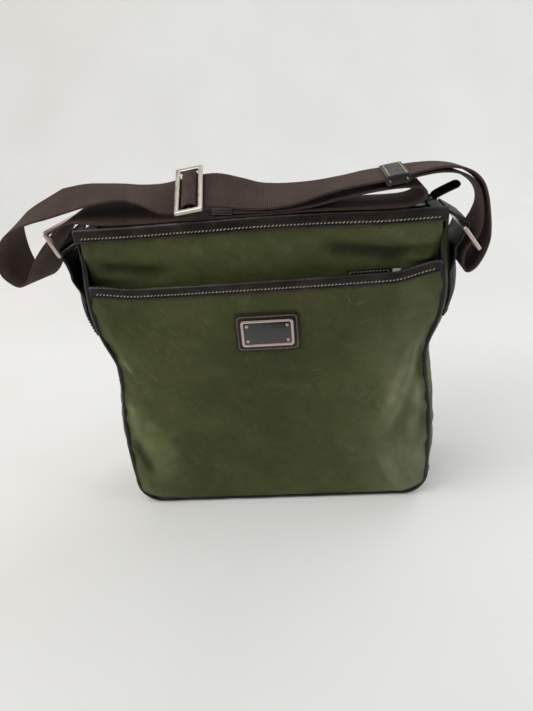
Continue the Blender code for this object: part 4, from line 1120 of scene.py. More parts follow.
def piping_line(side):
    inset = PIPING_RADIUS + 0.0004
    z = np.linspace(PIPING_TOP, CORNER_RADIUS, 140)
    left = np.stack([-(half_width(z) - inset), z], axis=1)
    arc = CORNER_RADIUS - inset
    angle = np.radians(np.linspace(0, 90, 30))[1:]
    corner = np.stack([-(HALF_WIDTH_BASE - CORNER_RADIUS + arc * np.cos(angle)),
                       CORNER_RADIUS - arc * np.sin(angle)], axis=1)
    half = np.concatenate([left, corner])
    bottom = np.linspace(-BASE_HALF_LENGTH, BASE_HALF_LENGTH, 120)[1:-1]
    base = np.stack([bottom, np.full(len(bottom), CORNER_RADIUS - arc)], axis=1)
    mirrored = half[::-1] * (-1, 1)
    line = np.concatenate([half, base, mirrored])
    z = np.maximum(line[:, 1], PIPING_RADIUS + 0.0006)
    wave = 0.00028 * noise2(line[:, 0] * 1.0, z, 0.016, 141)
    y = side * (half_depth(z) - PIPING_RADIUS)
    return np.stack([line[:, 0] + wave * (z > 0.03), y + wave, z], axis=1)


def make_piping(name, replaced, side):
    line = resample(piping_line(side), 0.0015)
    along = distances(line)
    end = np.minimum(along, along[-1] - along)
    radius = PIPING_RADIUS * np.clip(0.10 + 0.90 * (end / 0.016) ** 0.6, 0.1, 1.0)
    radius = radius * (1 + 0.035 * noise2(along, along * 0, 0.012, 143))
    settle(sweep(name, line, radius, LEATHER_TRIM, 16), "root", replaced)


make_piping("front_piping_leather", "front_piping", -1)
make_piping("back_piping_leather", "back_piping", 1)


# ---------------------------------------------------------------- bindings and their stitching

FOLD_HEIGHT = 0.0022
BINDING_SEAM = 0.0031
BINDING_STITCH = 0.0032


def binding_section(foot_out, head_out, head_in, foot_in, top, depth):
    """Points of the folded leather, from the outer leaf's lower edge over the fold: y and z."""
    low = top - depth
    outer = [(foot_out + (head_out - foot_out) * t, low + (depth - FOLD_HEIGHT) * t)
             for t in np.linspace(0, 1, 9)]
    middle = (head_out + head_in) / 2
    radius = (head_in - head_out) / 2
    fold = [(middle - radius * math.cos(a), top - FOLD_HEIGHT + FOLD_HEIGHT * math.sin(a))
            for a in np.radians(np.linspace(0, 180, 9))[1:-1]]
    inner = [(head_in + (foot_in - head_in) * t, top - FOLD_HEIGHT - (depth - FOLD_HEIGHT) * t)
             for t in np.linspace(0, 1, 7)]
    return outer + fold + inner


def make_binding(name, replaced, length, top_of, rise_of, depth, side, seed):
    """Leather folded over a panel's top edge, its seam and the seam's stitches."""
    columns = 230
    x = np.linspace(-length, length, columns)
    out = GAP + BINDING_LEATHER
    tops = top_of(x)
    rises = rise_of(x)
    rows = []
    for i in range(columns):
        rise = float(rises[i])
        level = float(tops[i])
        foot = -float(wall_y(x[i], level - rise - depth))
        head = -float(wall_y(x[i], level - rise))
        edge = 0.00022 * float(noise2(x[i], 0.0, 0.014, seed))
        puff = 0.00030 * float(noise2(x[i], 3.0, 0.020, seed + 1))
        section = binding_section(foot - out, head - out - puff, head + FABRIC + out,
                                  foot + FABRIC + out, level, depth + edge)
        rows.append([(float(x[i]), side * y, z) for y, z in section])
    points = np.array(rows)
    count = points.shape[1]
    seam = BINDING_SEAM / depth
    v = np.linspace(0, 1, 9)
    dip = -0.00035 * np.exp(-((v - seam) / 0.10) ** 2)
    stitched = 0.7 + 0.3 * np.cos(2 * np.pi * x / BINDING_STITCH)[:, None]
    points[:, :9, 1] -= side * dip[None, :] * stitched
    wear_and_light = np.zeros((columns, count))
    # Lighter along the fold at the top and towards both ends: rubbed leather and painted highlight
    # on the lit edge.
    fold = np.exp(-((np.arange(count) - 12.0) / 2.2) ** 2)
    ends = smooth((np.abs(x) - length + 0.030) / 0.030)
    rub_and_highlight = 0.20 + 0.60 * blotches(x, x * 0, 0.022, seed + 3) + 0.45 * ends
    wear_and_light += fold[None, :] * rub_and_highlight[:, None]
    wear_and_light += 0.14 * blotches(x[:, None], np.arange(count)[None, :] * 0.001, 0.012, seed + 6)
    wear_and_light += 0.10 * np.exp(-(np.arange(count) / 0.8) ** 2)[None, :]
    points = points[:, ::-1] if side > 0 else points
    wear_and_light = wear_and_light[:, ::-1] if side > 0 else wear_and_light
    cloth_piece(name, points, BINDING_LEATHER, LEATHER_TRIM, "root", replaced,
                np.clip(wear_and_light, 0, 1))
    level = tops - depth + seam * depth
    y = -wall_y(x, level - rises) - out - 0.00008
    line = np.stack([x, side * y, level], axis=1)[4:-4]
    stitches(name + "_stitches", [(line, (0, -side, 0.08))], THREAD_TAN, seed)


def mouth_edge(seed):
    return lambda x: HEIGHT - top_sag(x) + 0.0004 * noise2(x, x * 0, 0.050, seed)


make_binding("top_binding_front_leather", "top_binding_front", HALF_WIDTH_TOP - 0.0005,
             mouth_edge(151), lambda x: -top_sag(x), TOP_BINDING_HEIGHT, 1, 153)
make_binding("top_binding_back_leather", "top_binding_back", HALF_WIDTH_TOP - 0.0005,
             mouth_edge(155), lambda x: -top_sag(x), TOP_BINDING_HEIGHT, -1, 157)
make_binding("pocket_binding_leather", "pocket_binding",
             float(half_width(POCKET_TOP + POCKET_RIGHT_RISE)) - SEAM + 0.001,
             lambda x: POCKET_TOP + 0.0005 + pocket_rise(x), pocket_rise,
             POCKET_BINDING_HEIGHT, 1, 161)


# ---------------------------------------------------------------- metal frames

def rounded_outline(length, width, radius, steps):
    outline = []
    for corner, (sx, sy) in enumerate(((1, 1), (-1, 1), (-1, -1), (1, -1))):
        for step in range(steps + 1):
            angle = math.radians(90 * corner + 90 * step / steps)
            outline.append((sx * (length / 2 - radius) + radius * math.cos(angle),
                            sy * (width / 2 - radius) + radius * math.sin(angle)))
    return outline


def frame_mesh(outer, inner, thickness, bevel):
    """A flat frame between two outlines, with rolled edges: vertices and faces."""
    bm = bmesh.new()
    loops = []
    for level in (-thickness / 2, thickness / 2):
        for outline in (outer, inner):
            loops.append([bm.verts.new((x, y, level)) for x, y in outline])
    low_outer, low_inner, high_outer, high_inner = loops
    count = len(outer)
    for i in range(count):
        j = (i + 1) % count
        bm.faces.new((high_outer[i], high_outer[j], high_inner[j], high_inner[i]))
        bm.faces.new((low_outer[j], low_outer[i], low_inner[i], low_inner[j]))
        bm.faces.new((low_outer[i], low_outer[j], high_outer[j], high_outer[i]))
        bm.faces.new((low_inner[j], low_inner[i], high_inner[i], high_inner[j]))
    bmesh.ops.recalc_face_normals(bm, faces=bm.faces)
    sharp = [e for e in bm.edges if len(e.link_faces) == 2 and e.calc_face_angle(0.0) > 0.9]
    bmesh.ops.bevel(bm, geom=sharp, offset=bevel, segments=4, profile=0.5, affect="EDGES")
    return bm


def bmesh_piece(name, bm, placement, material, body, replaced):
    mesh = bpy.data.meshes.new(name)
    bm.to_mesh(mesh)
    bm.free()
    mesh.transform(placement)
    mesh.shade_smooth()
    mesh.set_sharp_from_angle(angle=math.radians(55))
    settle(link_piece(mesh, material), body, replaced)


def axes_at(origin, x_axis, y_axis):
    x = Vector(x_axis).normalized()
    z = x.cross(Vector(y_axis)).normalized()
    y = z.cross(x)
    matrix = Matrix((x, y, z)).transposed().to_4x4()
    matrix.translation = Vector(origin)
    return matrix


LOOP_HEIGHT = {-1: 0.2645, 1: 0.2632}
LOOP_X = {-1: -0.159, 1: 0.1618}
LOOP_RADIUS = 0.0042
LOOP_END_ANGLE = {-1: 50, 1: 58}
TAB_HEAD = {-1: ((0.1565, 0.2740), (0.1528, 0.2800)), 1: ((0.1570, 0.2713), (0.1502, 0.2757))}
TAB_FOOT = 0.187
TAB_BEND = 0.246
TAB_SPACING = 0.0011
TAB_HALF_WIDTH = 0.019
RING_SPAN = 0.0198
RING_SIZE = (0.052, 0.024)
RING_BAR = 0.0042
LEFT_RING_YAW = 10.0
RING_DIRECTIONS = {-1: Vector((-0.39, 0.0, 0.92)).normalized(),
                   1: Vector((0.585, 0.0, -0.811)).normalized()}


def make_ring(name, node, body, side):
    turn = Matrix.Rotation(math.radians(-LEFT_RING_YAW if side < 0 else 0.0), 3, "Z")
    along = turn @ Vector((0, 1, 0))
    across = turn @ RING_DIRECTIONS[side]
    centre = Vector((LOOP_X[side], 0, LOOP_HEIGHT[side])) + across * RING_SPAN / 2
    outer = rounded_outline(*RING_SIZE, 0.0024, 6)
    inner = rounded_outline(RING_SIZE[0] - 2 * RING_BAR, RING_SIZE[1] - 2 * RING_BAR, 0.0012, 6)
    bm = frame_mesh(outer, inner, 0.0030, 0.0009)
    bmesh_piece(name, bm, axes_at(centre, along, across), RING_METAL, body, node)


make_ring("left_ring_metal", "ring_left", "left_ring", -1)
make_ring("right_ring_metal", "ring_right", "right_ring", 1)


# ---------------------------------------------------------------- slider buckle

BUCKLE_CENTRE = Vector((-0.052, 0.0, 0.3002))
BUCKLE_SLOPE = 0.12
BUCKLE_LEAN = 28.0
BUCKLE_LIFT = 0.0008 + 0.0020 + 0.0015
BUCKLE_SIZE = (0.052, 0.023)
BUCKLE_BAR = 0.0038


def buckle_axes():
    along = Vector((1, 0, BUCKLE_SLOPE)).normalized()
    back = Vector((0, math.cos(math.radians(BUCKLE_LEAN)), math.sin(math.radians(BUCKLE_LEAN))))
    across = (back - along * back.dot(along)).normalized()
    return along, across, along.cross(across)


def make_buckle():
    along, across, up = buckle_axes()
    centre = BUCKLE_CENTRE + up * BUCKLE_LIFT
    outer = rounded_outline(*BUCKLE_SIZE, 0.0012, 5)
    inner = rounded_outline(BUCKLE_SIZE[0] - 2 * BUCKLE_BAR, BUCKLE_SIZE[1] - 2 * BUCKLE_BAR,
                            0.0006, 5)
    bm = frame_mesh(outer, inner, 0.0030, 0.0008)
    bmesh_piece("buckle_frame_metal", bm, axes_at(centre, across, -along), BUCKLE_METAL,
                "buckle", "buckle_frame")
    bar = BUCKLE_CENTRE + up * (0.0008 + 0.0004 + 0.0014 + 0.0004)
    half = BUCKLE_SIZE[0] / 2 - BUCKLE_BAR
    line = [bar + across * half * t for t in np.linspace(-1, 1, 24)]
    piece = sweep("buckle_bar_metal", line, 0.0014, BUCKLE_METAL, 16, (0, 0, 1))
    settle(piece, "buckle", "buckle_centre_bar")
    make_buckle_fold(along, across, up)


def make_buckle_fold(along, across, up):
    """The webbing that turns over the centre bar: ribbed, with soft cross creases."""
    rows = 90
    columns = 61
    angle = np.linspace(-0.14, math.pi + 0.14, rows)[:, None]
    u = np.linspace(-1, 1, columns)[None, :]
    half = STRAP_WIDTH / 2 - 0.0004
    wave = 0.00042 * noise2(u * half, angle * 0.003, 0.0062, 171) * np.sin(angle)
    rib = 0.00004 * np.cos(angle * 0.0062 / RIB_PITCH * 2 * np.pi)
    reach = 0.0054 + wave + rib
    rise = 0.0047 + wave + rib
    foot = 0.0020
    a, c, n = (np.array(v) for v in (along, across, up))
    points = (np.array(BUCKLE_CENTRE) + a * (reach * np.cos(angle))[:, :, None]
              + n * (foot + rise * np.sin(angle))[:, :, None] + c * (half * u)[:, :, None])
    piece = cloth_piece("buckle_fold_webbing", points[::-1], 0.0013, WEBBING,
                        "buckle", "buckle_webbing_fold")


make_buckle()


# ---------------------------------------------------------------- leather tabs that hold the rings

def tab_rows(side):
    """Middle lines of the tab from its foot on the gusset to its end beside the mouth."""
    twist = math.tan(math.radians(LEFT_RING_YAW)) if side < 0 else 0.0
    reach = abs(LOOP_X[side])
    lift = 3 * GAP + 0.0010
    level_z = LOOP_HEIGHT[side]
    low = np.linspace(TAB_FOOT, TAB_BEND, 14)
    u = np.linspace(-1, 1, 41)
    y = u * TAB_HALF_WIDTH
    lines = []
    for z in low:
        flat = smooth((z - 0.222) / 0.024)
        curved = gusset_x(y, z) + lift - 0.0012 * (1 - smooth((z - TAB_FOOT) / 0.020))
        level = gusset_x(0.0, z) + lift + side * twist * y
        x = side * (curved + (level - curved) * flat)
        lines.append(np.stack([x, y, np.full(len(y), z)], axis=1))
    angles = np.radians(np.linspace(-60, LOOP_END_ANGLE[side], 12))
    loop = [(reach + LOOP_RADIUS * math.cos(a), level_z + LOOP_RADIUS * math.sin(a))
            for a in angles]
    for x, z in [(reach - 0.0005, level_z - 0.0100)] + loop + list(TAB_HEAD[side]):
        fade = 1 - smooth((z - 0.272) / 0.008)
        lines.append(np.stack([side * x + twist * y * fade, y, np.full(len(y), z)], axis=1))
    lines = np.array(lines)
    columns = []
    for c in range(len(u)):
        line = smooth_line(lines[:, c], TAB_SPACING)
        at = np.linspace(0, len(line) - 1, 110)
        columns.append(np.stack([np.interp(at, np.arange(len(line)), line[:, k])
                                 for k in range(3)], axis=1))
    return np.stack(columns, axis=1)


def make_tab(name, replaced, side, seed):
    points = tab_rows(side)
    if side < 0:
        points = points[::-1]
    normal = normals_of(points)
    outward = np.sign((normal[:, :, 0] * side).mean())
    rows, columns = points.shape[:2]
    u = np.linspace(-1, 1, columns)[None, :]
    y = points[:, :, 1]
    z = points[:, :, 2]
    puff = 0.00025 * noise2(y, z, 0.014, seed)
    dip = -0.00030 * np.exp(-((np.abs(u) - 0.86) / 0.05) ** 2)
    outer = points + normal * outward * (0.0010 + puff + dip)[:, :, None]
    # Lighter at the edges from wear, and towards the head: painted highlight where the tab's top is
    # lit from above.
    wear_and_light = (0.20 * np.exp(-((1 - np.abs(u)) / 0.04) ** 2) + 0.22 * smooth((z - 0.266) / 0.008)
            + 0.12 * blotches(y, z, 0.012, seed + 2))
    if outward < 0:
        outer = outer[::-1]
        wear_and_light = wear_and_light[::-1]
    cloth_piece(name, outer, 0.0020, LEATHER_BLACK, "root", replaced,
                np.clip(wear_and_light, 0, 1))
    flat = points if points[0, 0, 2] < points[-1, 0, 2] else points[::-1]
    flat_normal = normals_of(flat) * np.sign((normals_of(flat)[:, :, 0] * side).mean())
    upto = int(np.argmax(flat[:, 20, 2] > 0.2440))
    seams = []
    for c in (3, columns - 4):
        seams.append((flat[2:upto, c] + flat_normal[2:upto, c] * 0.00085, flat_normal[2:upto, c]))
    for r in (2, upto):
        seams.append((flat[r, 3:-3] + flat_normal[r, 3:-3] * 0.00085, flat_normal[r, 3:-3]))
    stitches(name + "_stitches", seams, THREAD_DARK, seed + 4)


make_tab("side_tab_leather_left", "side_tab_left", -1, 181)
make_tab("side_tab_leather_right", "side_tab_right", 1, 191)


# ---------------------------------------------------------------- zip

ZIP_LEVEL = 0.2748
ZIP_HALF_LENGTH = 0.138
TAPE_OUTER = 0.0152
TAPE_INNER = 0.0025
ZIP_END_HALF = (0.0041, 0.0130)
TOOTH_PITCH = 0.0018
SLIDER_X = 0.130
PULL_PIVOT = Vector((0.1338, 0.0, 0.2796))
PULL_RISE = 24.0
PULL_TWIST = 30.0


def make_zip():
    for side, word in ((-1, "front"), (1, "back")):
        x = np.linspace(-ZIP_HALF_LENGTH, ZIP_HALF_LENGTH, 200)[:, None]
        y = np.linspace(TAPE_OUTER, TAPE_INNER, 16)[None, :]
        ripple = 0.00018 * noise2(x, y, 0.016, 201 + side)
        points = grid_points(x, side * y, ZIP_LEVEL + 0.0004 + ripple)
        if side > 0:
            points = points[::-1]
        cloth_piece("zip_cloth_" + word, points[:, ::-1], 0.0008, ZIP_TAPE, "root",
                    "zip_tape_" + word)
        settle(make_teeth("zip_coil_" + word, side), "root", "zip_teeth_" + word)
    for side, word in ((-1, "left"), (1, "right")):
        make_zip_end("zip_end_leather_" + word, "zip_end_" + word, side)


def make_teeth(name, side):
    """A row of coil teeth: each loop rises from the tape, reaches the middle and goes back."""
    vertices = []
    faces = []
    count = int((2 * ZIP_HALF_LENGTH - 0.004) / TOOTH_PITCH)
    for k in range(count):
        x = -ZIP_HALF_LENGTH + 0.002 + (k + 0.5 + (0.5 if side > 0 else 0.0)) * TOOTH_PITCH
        x = min(x, ZIP_HALF_LENGTH - 0.0026)
        first = len(vertices)
        for y, rise, half in ((0.00215, 0.0, 0.00036), (0.0014, 0.0010, 0.00042),
                              (0.00045, 0.0011, 0.00050), (0.0001, 0.0006, 0.00042)):
            for dx, dz in ((-half, -0.0006), (half, -0.0006), (half, rise), (0, rise + 0.00022),
                           (-half, rise)):
                vertices.append((x + dx, side * y, ZIP_LEVEL + dz))
        for j in range(3):
            for i in range(5):
                a = first + j * 5 + i
                b = first + j * 5 + (i + 1) % 5
                face = (a, b, b + 5, a + 5)
                faces.append(face if side > 0 else face[::-1])
        cap = tuple(first + i for i in range(5))
        end = tuple(first + 15 + i for i in range(5))
        faces.append(cap[::-1] if side > 0 else cap)
        faces.append(end if side > 0 else end[::-1])
    return new_piece(name, vertices, faces, DARK_METAL, smooth_faces=False)


def make_zip_end(name, replaced, side):
    """Leather across the mouth at the zip's end: a soft pad with turned edges."""
    middle = side * (ZIP_HALF_LENGTH + 0.0048)
    x = np.linspace(-ZIP_END_HALF[0], ZIP_END_HALF[0], 20)[:, None]
    y = np.linspace(-ZIP_END_HALF[1], ZIP_END_HALF[1], 60)[None, :]
    crown = 0.0006 * (1 - (x / 0.0045) ** 4) * (1 - (y / 0.0135) ** 6)
    z = ZIP_LEVEL + 0.0008 + crown + 0.0001 * noise2(x, y, 0.004, 211)
    wear_and_light = 0.35 * np.exp(-((ZIP_END_HALF[0] - np.abs(x)) / 0.0008) ** 2) + 0 * y
    cloth_piece(name, grid_points(middle + x, y, z), 0.0016, LEATHER_BLACK, "root",
                replaced, wear_and_light)


def solid_outline(outline, thickness, bevel, segments=3):
    bm = bmesh.new()
    face = bm.faces.new([bm.verts.new((x, y, -thickness / 2)) for x, y in outline])
    raised = bmesh.ops.extrude_face_region(bm, geom=[face])
    top = [v for v in raised["geom"] if isinstance(v, bmesh.types.BMVert)]
    bmesh.ops.translate(bm, vec=(0, 0, thickness), verts=top)
    bmesh.ops.recalc_face_normals(bm, faces=bm.faces)
    if bevel:
        sharp = [e for e in bm.edges if e.calc_face_angle(0.0) > 0.9]
        bmesh.ops.bevel(bm, geom=sharp, offset=bevel, segments=segments, profile=0.5,
                        affect="EDGES")
    return bm


def slider_outline():
    """A zip slider from above: a shield with a wide nose and a narrow tail."""
    return [(-0.0060, -0.0032), (-0.0035, -0.0036), (0.0000, -0.0045), (0.0042, -0.0047),
            (0.0060, -0.0034), (0.0052, -0.0008), (0.0052, 0.0008), (0.0060, 0.0034),
            (0.0042, 0.0047), (0.0000, 0.0045), (-0.0035, 0.0036), (-0.0060, 0.0032)]


def make_slider():
    top_level = ZIP_LEVEL + 0.0011 + 0.0004
    top = solid_outline(slider_outline(), 0.0015, 0.0004)
    bmesh_piece("zip_slider_body", top, Matrix.Translation((SLIDER_X, 0, top_level + 0.00075)),
                DARK_METAL, "zip_slider", "zip_slider_top")
    under = solid_outline(slider_outline(), 0.0012, 0.0003)
    bmesh_piece("zip_slider_under", under,
                Matrix.Translation((SLIDER_X, 0, ZIP_LEVEL - 0.0011 - 0.0004 - 0.0006)),
                DARK_METAL, "zip_slider", "zip_slider_base")
    arch = [(-0.0042, 0.0012), (-0.0036, 0.0040), (-0.0020, 0.0050), (0.0020, 0.0053),
            (0.0050, 0.0050), (0.0060, 0.0036), (0.0061, 0.0016)]
    line = [(SLIDER_X + x, 0.0, top_level + z) for x, z in arch]
    bridge = sweep("zip_slider_arch", smooth_line(line, 0.0004), 0.0008, DARK_METAL,
                   12, flatten=1.6)
    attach(bridge, "zip_slider")


def pull_axes():
    rise = math.radians(PULL_RISE)
    return Vector((math.cos(rise), 0, math.sin(rise)))


def make_pull():
    """The link through the slider's arch and the flat leather strip on it."""
    along = pull_axes()
    outer = rounded_outline(0.0080, 0.0062, 0.0024, 6)
    inner = rounded_outline(0.0056, 0.0038, 0.0014, 6)
    link = frame_mesh(outer, inner, 0.0010, 0.0003)
    middle = PULL_PIVOT + along * (0.0040 - 0.0006)
    bmesh_piece("zip_pull_loop", link, axes_at(middle, along, (0, 1, 0)), DARK_METAL,
                "zip_pull", "zip_pull_link")
    start = 0.0080 - 0.0006 + GAP
    length = 0.0205
    rows = np.linspace(0, 1, 70)[:, None]
    u = np.linspace(-1, 1, 25)[None, :]
    tip = np.clip(1 - ((rows - 0.88) / 0.12).clip(0, 1) ** 2.4, 0, 1) ** 0.5
    neck = 0.80 + 0.20 * smooth(rows / 0.18)
    half = 0.0032 * neck * np.maximum(tip, 0.03)
    bend = 0.0005 * np.sin(np.pi * rows)
    across = np.array(Matrix.Rotation(math.radians(PULL_TWIST), 3, along) @ Vector((0, 1, 0)))
    up = np.cross(np.array(along), across)
    a = np.array(along)
    crown = 0.0012 * (1 - 0.30 * np.abs(u) ** 4) * (0.75 + 0.25 * smooth(rows / 0.1))
    origin = np.array(PULL_PIVOT) + a * start
    points = (origin + a * (rows * length + 0 * u)[:, :, None]
              + across * (half * u)[:, :, None]
              + up * (bend + crown)[:, :, None])
    # Lighter along both edges: edge wear and painted highlight.
    wear_and_light = 0.45 * np.exp(-((1 - np.abs(u)) / 0.08) ** 2) + 0 * rows
    cloth_piece("zip_pull_strip", points, 0.0022, LEATHER_BLACK, "zip_pull",
                "zip_pull_leather", wear_and_light)


make_zip()
make_slider()
make_pull()


# ---------------------------------------------------------------- sleeve and end clip on the strap

SLEEVE_CENTRE = Vector((0.1100, 0.0, 0.30358))
SLEEVE_SLOPE = 0.12
SLEEVE_LENGTH = 0.0170
SLEEVE_SEAM = 0.0021
CLIP_CENTRE = Vector((-0.0258, 0.0, 0.2886))
CLIP_LENGTH = 0.0165
CLIP_THICKNESS = 0.0034


def make_sleeve():
    """A band of leather round the strap and its turned-back end, stitched at both sides."""
    place = axes_at(SLEEVE_CENTRE, (0, 1, 0), (-SLEEVE_SLOPE, 0, 1))
    stack = 2 * 0.0016 + 5 * GAP
    outline = rounded_outline(STRAP_WIDTH + 0.0016 + 0.0019, stack + 0.0019, 0.0022, 6)
    dense = []
    for i in range(len(outline)):
        a, b = outline[i], outline[(i + 1) % len(outline)]
        parts = max(1, int(math.dist(a, b) / 0.0012))
        dense += [(a[0] + (b[0] - a[0]) * k / parts, a[1] + (b[1] - a[1]) * k / parts)
                  for k in range(parts)]
    outline = np.array(dense + dense[:1])
    length = SLEEVE_LENGTH
    along = np.linspace(-length / 2, length / 2, 26)
    rows = []
    for t in along:
        seam = math.exp(-((abs(t) - length / 2 + SLEEVE_SEAM) / 0.0006) ** 2)
        puff = 0.00022 * (1 - (2 * t / length) ** 2) - 0.00024 * seam
        wrinkle = 0.00012 * noise2(outline[:, 0], outline[:, 0] * 0 + t, 0.006, 221)
        grow = 1 + (puff + wrinkle) / 0.0030
        section = np.broadcast_arrays(outline[:, 0], outline[:, 1] * grow, t)
        rows.append(np.stack(section, axis=1))
    edge = np.exp(-((length / 2 - np.abs(along)) / 0.0007) ** 2)[:, None]
    wear_and_light = 0.4 * edge + 0 * outline[None, :, 0]
    cloth_piece("strap_sleeve_leather", placed(np.array(rows), place), 0.0010, LEATHER_GREY,
                "root", "strap_sleeve", wear_and_light)
    matrix = np.array(place)
    seams = []
    for t in (SLEEVE_SEAM - length / 2, length / 2 - SLEEVE_SEAM):
        for face in (1, -1):
            x = np.linspace(-STRAP_WIDTH / 2 + 0.0005, STRAP_WIDTH / 2 - 0.0005, 40)
            line = np.stack(np.broadcast_arrays(x, face * (stack / 2 + 0.0011), t), axis=1)
            seams.append((placed(line, place), matrix[:3, 1] * face))
        for end in (1, -1):
            y = np.linspace(-stack / 2, stack / 2, 8)
            line = np.stack(np.broadcast_arrays(end * (STRAP_WIDTH / 2 + 0.0019), y, t), axis=1)
            seams.append((placed(line, place), matrix[:3, 0] * end))
    stitches("strap_sleeve_stitches", seams, THREAD_TAN, 231, 0.0030, 0.0022)


def make_end_clip():
    """A crimped metal strip folded over the webbing's free end, with a groove at each edge."""
    half, low = STRAP_WIDTH / 2, CLIP_THICKNESS / 2
    edge = [(half, -low), (half, -0.0008), (half - 0.0006, -0.0006), (half, -0.0004),
            (half, 0.0004), (half - 0.0006, 0.0006), (half, 0.0008), (half, low)]
    outline = edge + [(-y, z) for y, z in reversed(edge)]
    bm = solid_outline(outline, CLIP_LENGTH, 0.0002, 2)
    place = axes_at(CLIP_CENTRE, (0, 1, 0), (0.10, 0, 1))
    bmesh_piece("strap_end_clip_metal", bm, place, DARK_METAL, "root",
                "strap_end_clip")


make_sleeve()
make_end_clip()


# ---------------------------------------------------------------- badge, label and tag

def wall_placement(x, z, lift):
    below = Vector((x, -float(wall_y(x, z - 0.01)), z - 0.01))
    above = Vector((x, -float(wall_y(x, z + 0.01)), z + 0.01))
    place = axes_at(Vector((x, -float(wall_y(x, z)), z)), (1, 0, 0), above - below)
    place.translation = place.translation + place.col[2].to_3d() * lift
    return place


def make_badge():
    """A plain rounded plate on a stitched leather patch, blank, with four small rivets."""
    x, z = BADGE_PLACE
    width, height = PATCH_SIZE
    place = wall_placement(x, z, 0.0004 + 0.0010)
    patch = solid_outline(rounded_outline(width, height, 0.0045, 8), 0.0017, 0.0005)
    bmesh_piece("badge_leather", patch, place, LEATHER_TRIM, "root", "badge_patch")
    ring = np.array(rounded_outline(width - 0.0052, height - 0.0052, 0.0030, 6))
    ring = np.concatenate([ring, ring[:1]])
    line = placed(np.stack([ring[:, 0], ring[:, 1], np.full(len(ring), 0.00088)], axis=1), place)
    stitches("badge_stitches", [(line, np.array(place)[:3, 2])], THREAD_TAN, 241, 0.0024, 0.0018,
             FINE_THREAD)
    lift = 0.0014 + 0.0008 + 0.0004 + 0.0007
    inside = [side - 2 * PLATE_RIM for side in PLATE_SIZE]
    outer = rounded_outline(*PLATE_SIZE, 0.003, 8)
    inner = rounded_outline(*inside, 0.0015, 8)
    bmesh_piece("badge_rim_metal", frame_mesh(outer, inner, 0.0014, 0.0004),
                wall_placement(x, z, lift), RING_METAL, "root", "badge_rim")
    fill = solid_outline(rounded_outline(inside[0] - 0.0002, inside[1] - 0.0002, 0.0014, 8),
                         0.0008, 0.0001)
    bmesh_piece("badge_enamel_plate", fill, wall_placement(x, z, lift - 0.0002), ENAMEL,
                "root", "badge_enamel")
    across, up = (side / 2 - RIVET_INSET for side in inside)
    corners = ((-across, -up), (across, -up), (-across, up), (across, up))
    for number, (dx, dz) in enumerate(corners, start=1):
        bm = bmesh.new()
        bmesh.ops.create_uvsphere(bm, u_segments=20, v_segments=10, radius=0.0014)
        bmesh.ops.scale(bm, vec=(1, 1, 0.42), verts=bm.verts)
        spot = wall_placement(x, z, lift + 0.0004) @ Matrix.Translation((dx, dz, 0))
        bmesh_piece("badge_rivet_head_%d" % number, bm, spot, RING_METAL, "root",
                    "badge_rivet_%d" % number)


def make_label(name, replaced, material, x, width, z, height, thickness, stitched):
    back = float(recess(z) - wall_y(x, z))
    slope = Vector((0, float(recess(z + 0.01) - wall_y(x, z + 0.01)) - back, 0.01))
    place = axes_at(Vector((x, back - 0.0022, z)), (1, 0, 0), slope)
    bm = solid_outline(rounded_outline(width, height, 0.0010, 4), thickness, thickness * 0.3)
    bmesh_piece(name, bm, place, material, "root", replaced)
    if stitched:
        line = np.array([(-width / 2 + 0.0018, -height / 2 + 0.002, thickness / 2),
                         (-width / 2 + 0.0018, height / 2 - 0.0018, thickness / 2),
                         (width / 2 - 0.0018, height / 2 - 0.0018, thickness / 2),
                         (width / 2 - 0.0018, -height / 2 + 0.002, thickness / 2)])
        line = placed(resample(line, 0.0008), place)
        stitches(name + "_stitches", [(line, np.array(place)[:3, 2])], THREAD_TAN, 251, 0.0026,
                 0.0019, FINE_THREAD)


make_badge()
make_label("pocket_label_leather", "pocket_label", LEATHER_TRIM, 0.089, 0.036, 0.2180,
           0.0300, 0.0012, True)
make_label("pocket_tag_tape", "pocket_tag", WHITE_TAPE, 0.1115, 0.007, 0.2198, 0.0240,
           0.0006, False)


# ---------------------------------------------------------------- what stays as the model has it

def dress(node, material):
    item = NODES[node]
    item.data.materials.clear()
    item.data.materials.append(material)


dress("base_board", BOARD)


LINING_FLOOR_ROWS = 14
LINING_WALL_ROWS = 90
LINING_COLUMNS = 150
LINING_SLACK = 0.0060
LINING_FOLD = 0.0007


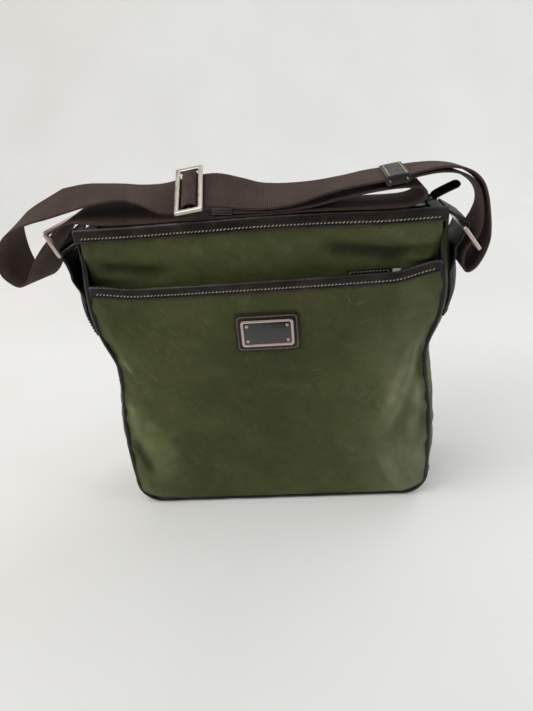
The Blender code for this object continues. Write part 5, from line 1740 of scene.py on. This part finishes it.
def make_lining():
    """A loose cloth bag inside the shell, from the middle of its floor up to its hem."""
    levels = ([LINING_FOOT] * LINING_FLOOR_ROWS
              + list(np.linspace(LINING_FOOT + 0.001, LINING_TOP, LINING_WALL_ROWS)))
    shrink = list(np.linspace(0.02, 0.99, LINING_FLOOR_ROWS)) + [1.0] * LINING_WALL_ROWS
    rows = []
    for z, scale in zip(levels, shrink):
        half_x = float(inner_edge(np.array(max(z, LINING_INSET + 0.0015)), LINING_INSET)) - 0.0010
        slack = LINING_SLACK * float(smooth((z - 0.200) / 0.020))
        front = float(recess(z) - half_depth(z)) + FABRIC + 4 * GAP + slack
        back = float(half_depth(z)) - FABRIC - 3 * GAP
        outline = np.array(rounded_outline(2 * half_x, back - front, 0.008, 5))
        outline = resample(np.concatenate([outline, outline[:1]]), 0.004)
        at = np.linspace(0, 1, LINING_COLUMNS)
        known = np.linspace(0, 1, len(outline))
        outline = np.stack([np.interp(at, known, outline[:, k]) for k in range(2)], axis=1)
        slant = outline[:, 0] + outline[:, 1] * 3
        fold = LINING_FOLD * noise2(slant, np.full(LINING_COLUMNS, z), 0.022, 261)
        grow = 1 - (LINING_FOLD + fold) / HALF_DEPTH_TOP
        middle = (front + back) / 2
        rows.append(np.stack([outline[:, 0] * scale, outline[:, 1] * grow * scale + middle,
                              np.full(LINING_COLUMNS, z)], axis=1))
    cloth_piece("lining_cloth_bag", np.array(rows), 0.0006, LINING_CLOTH, "root",
                "lining")


def make_base():
    """The base panel: cloth drawn over the board, turned up a little at its rim."""
    depth = 2 * (float(half_depth(0.0)) - SEAM)
    x = np.linspace(-BASE_HALF_LENGTH, BASE_HALF_LENGTH, 180)[None, :]
    y = np.linspace(-depth / 2, depth / 2, 60)[:, None]
    rim = np.minimum(BASE_HALF_LENGTH - np.abs(x), depth / 2 - np.abs(y))
    z = 0.0010 * np.exp(-(rim / 0.0030) ** 2) + 0.00015 * (1 + fractal(x, y, 0.020, 271))
    cloth_piece("base_nylon", grid_points(x, y, z)[::-1], 0.0010, NYLON, "root",
                "base_panel", 0.3 + 0 * z)


make_lining()
make_base()
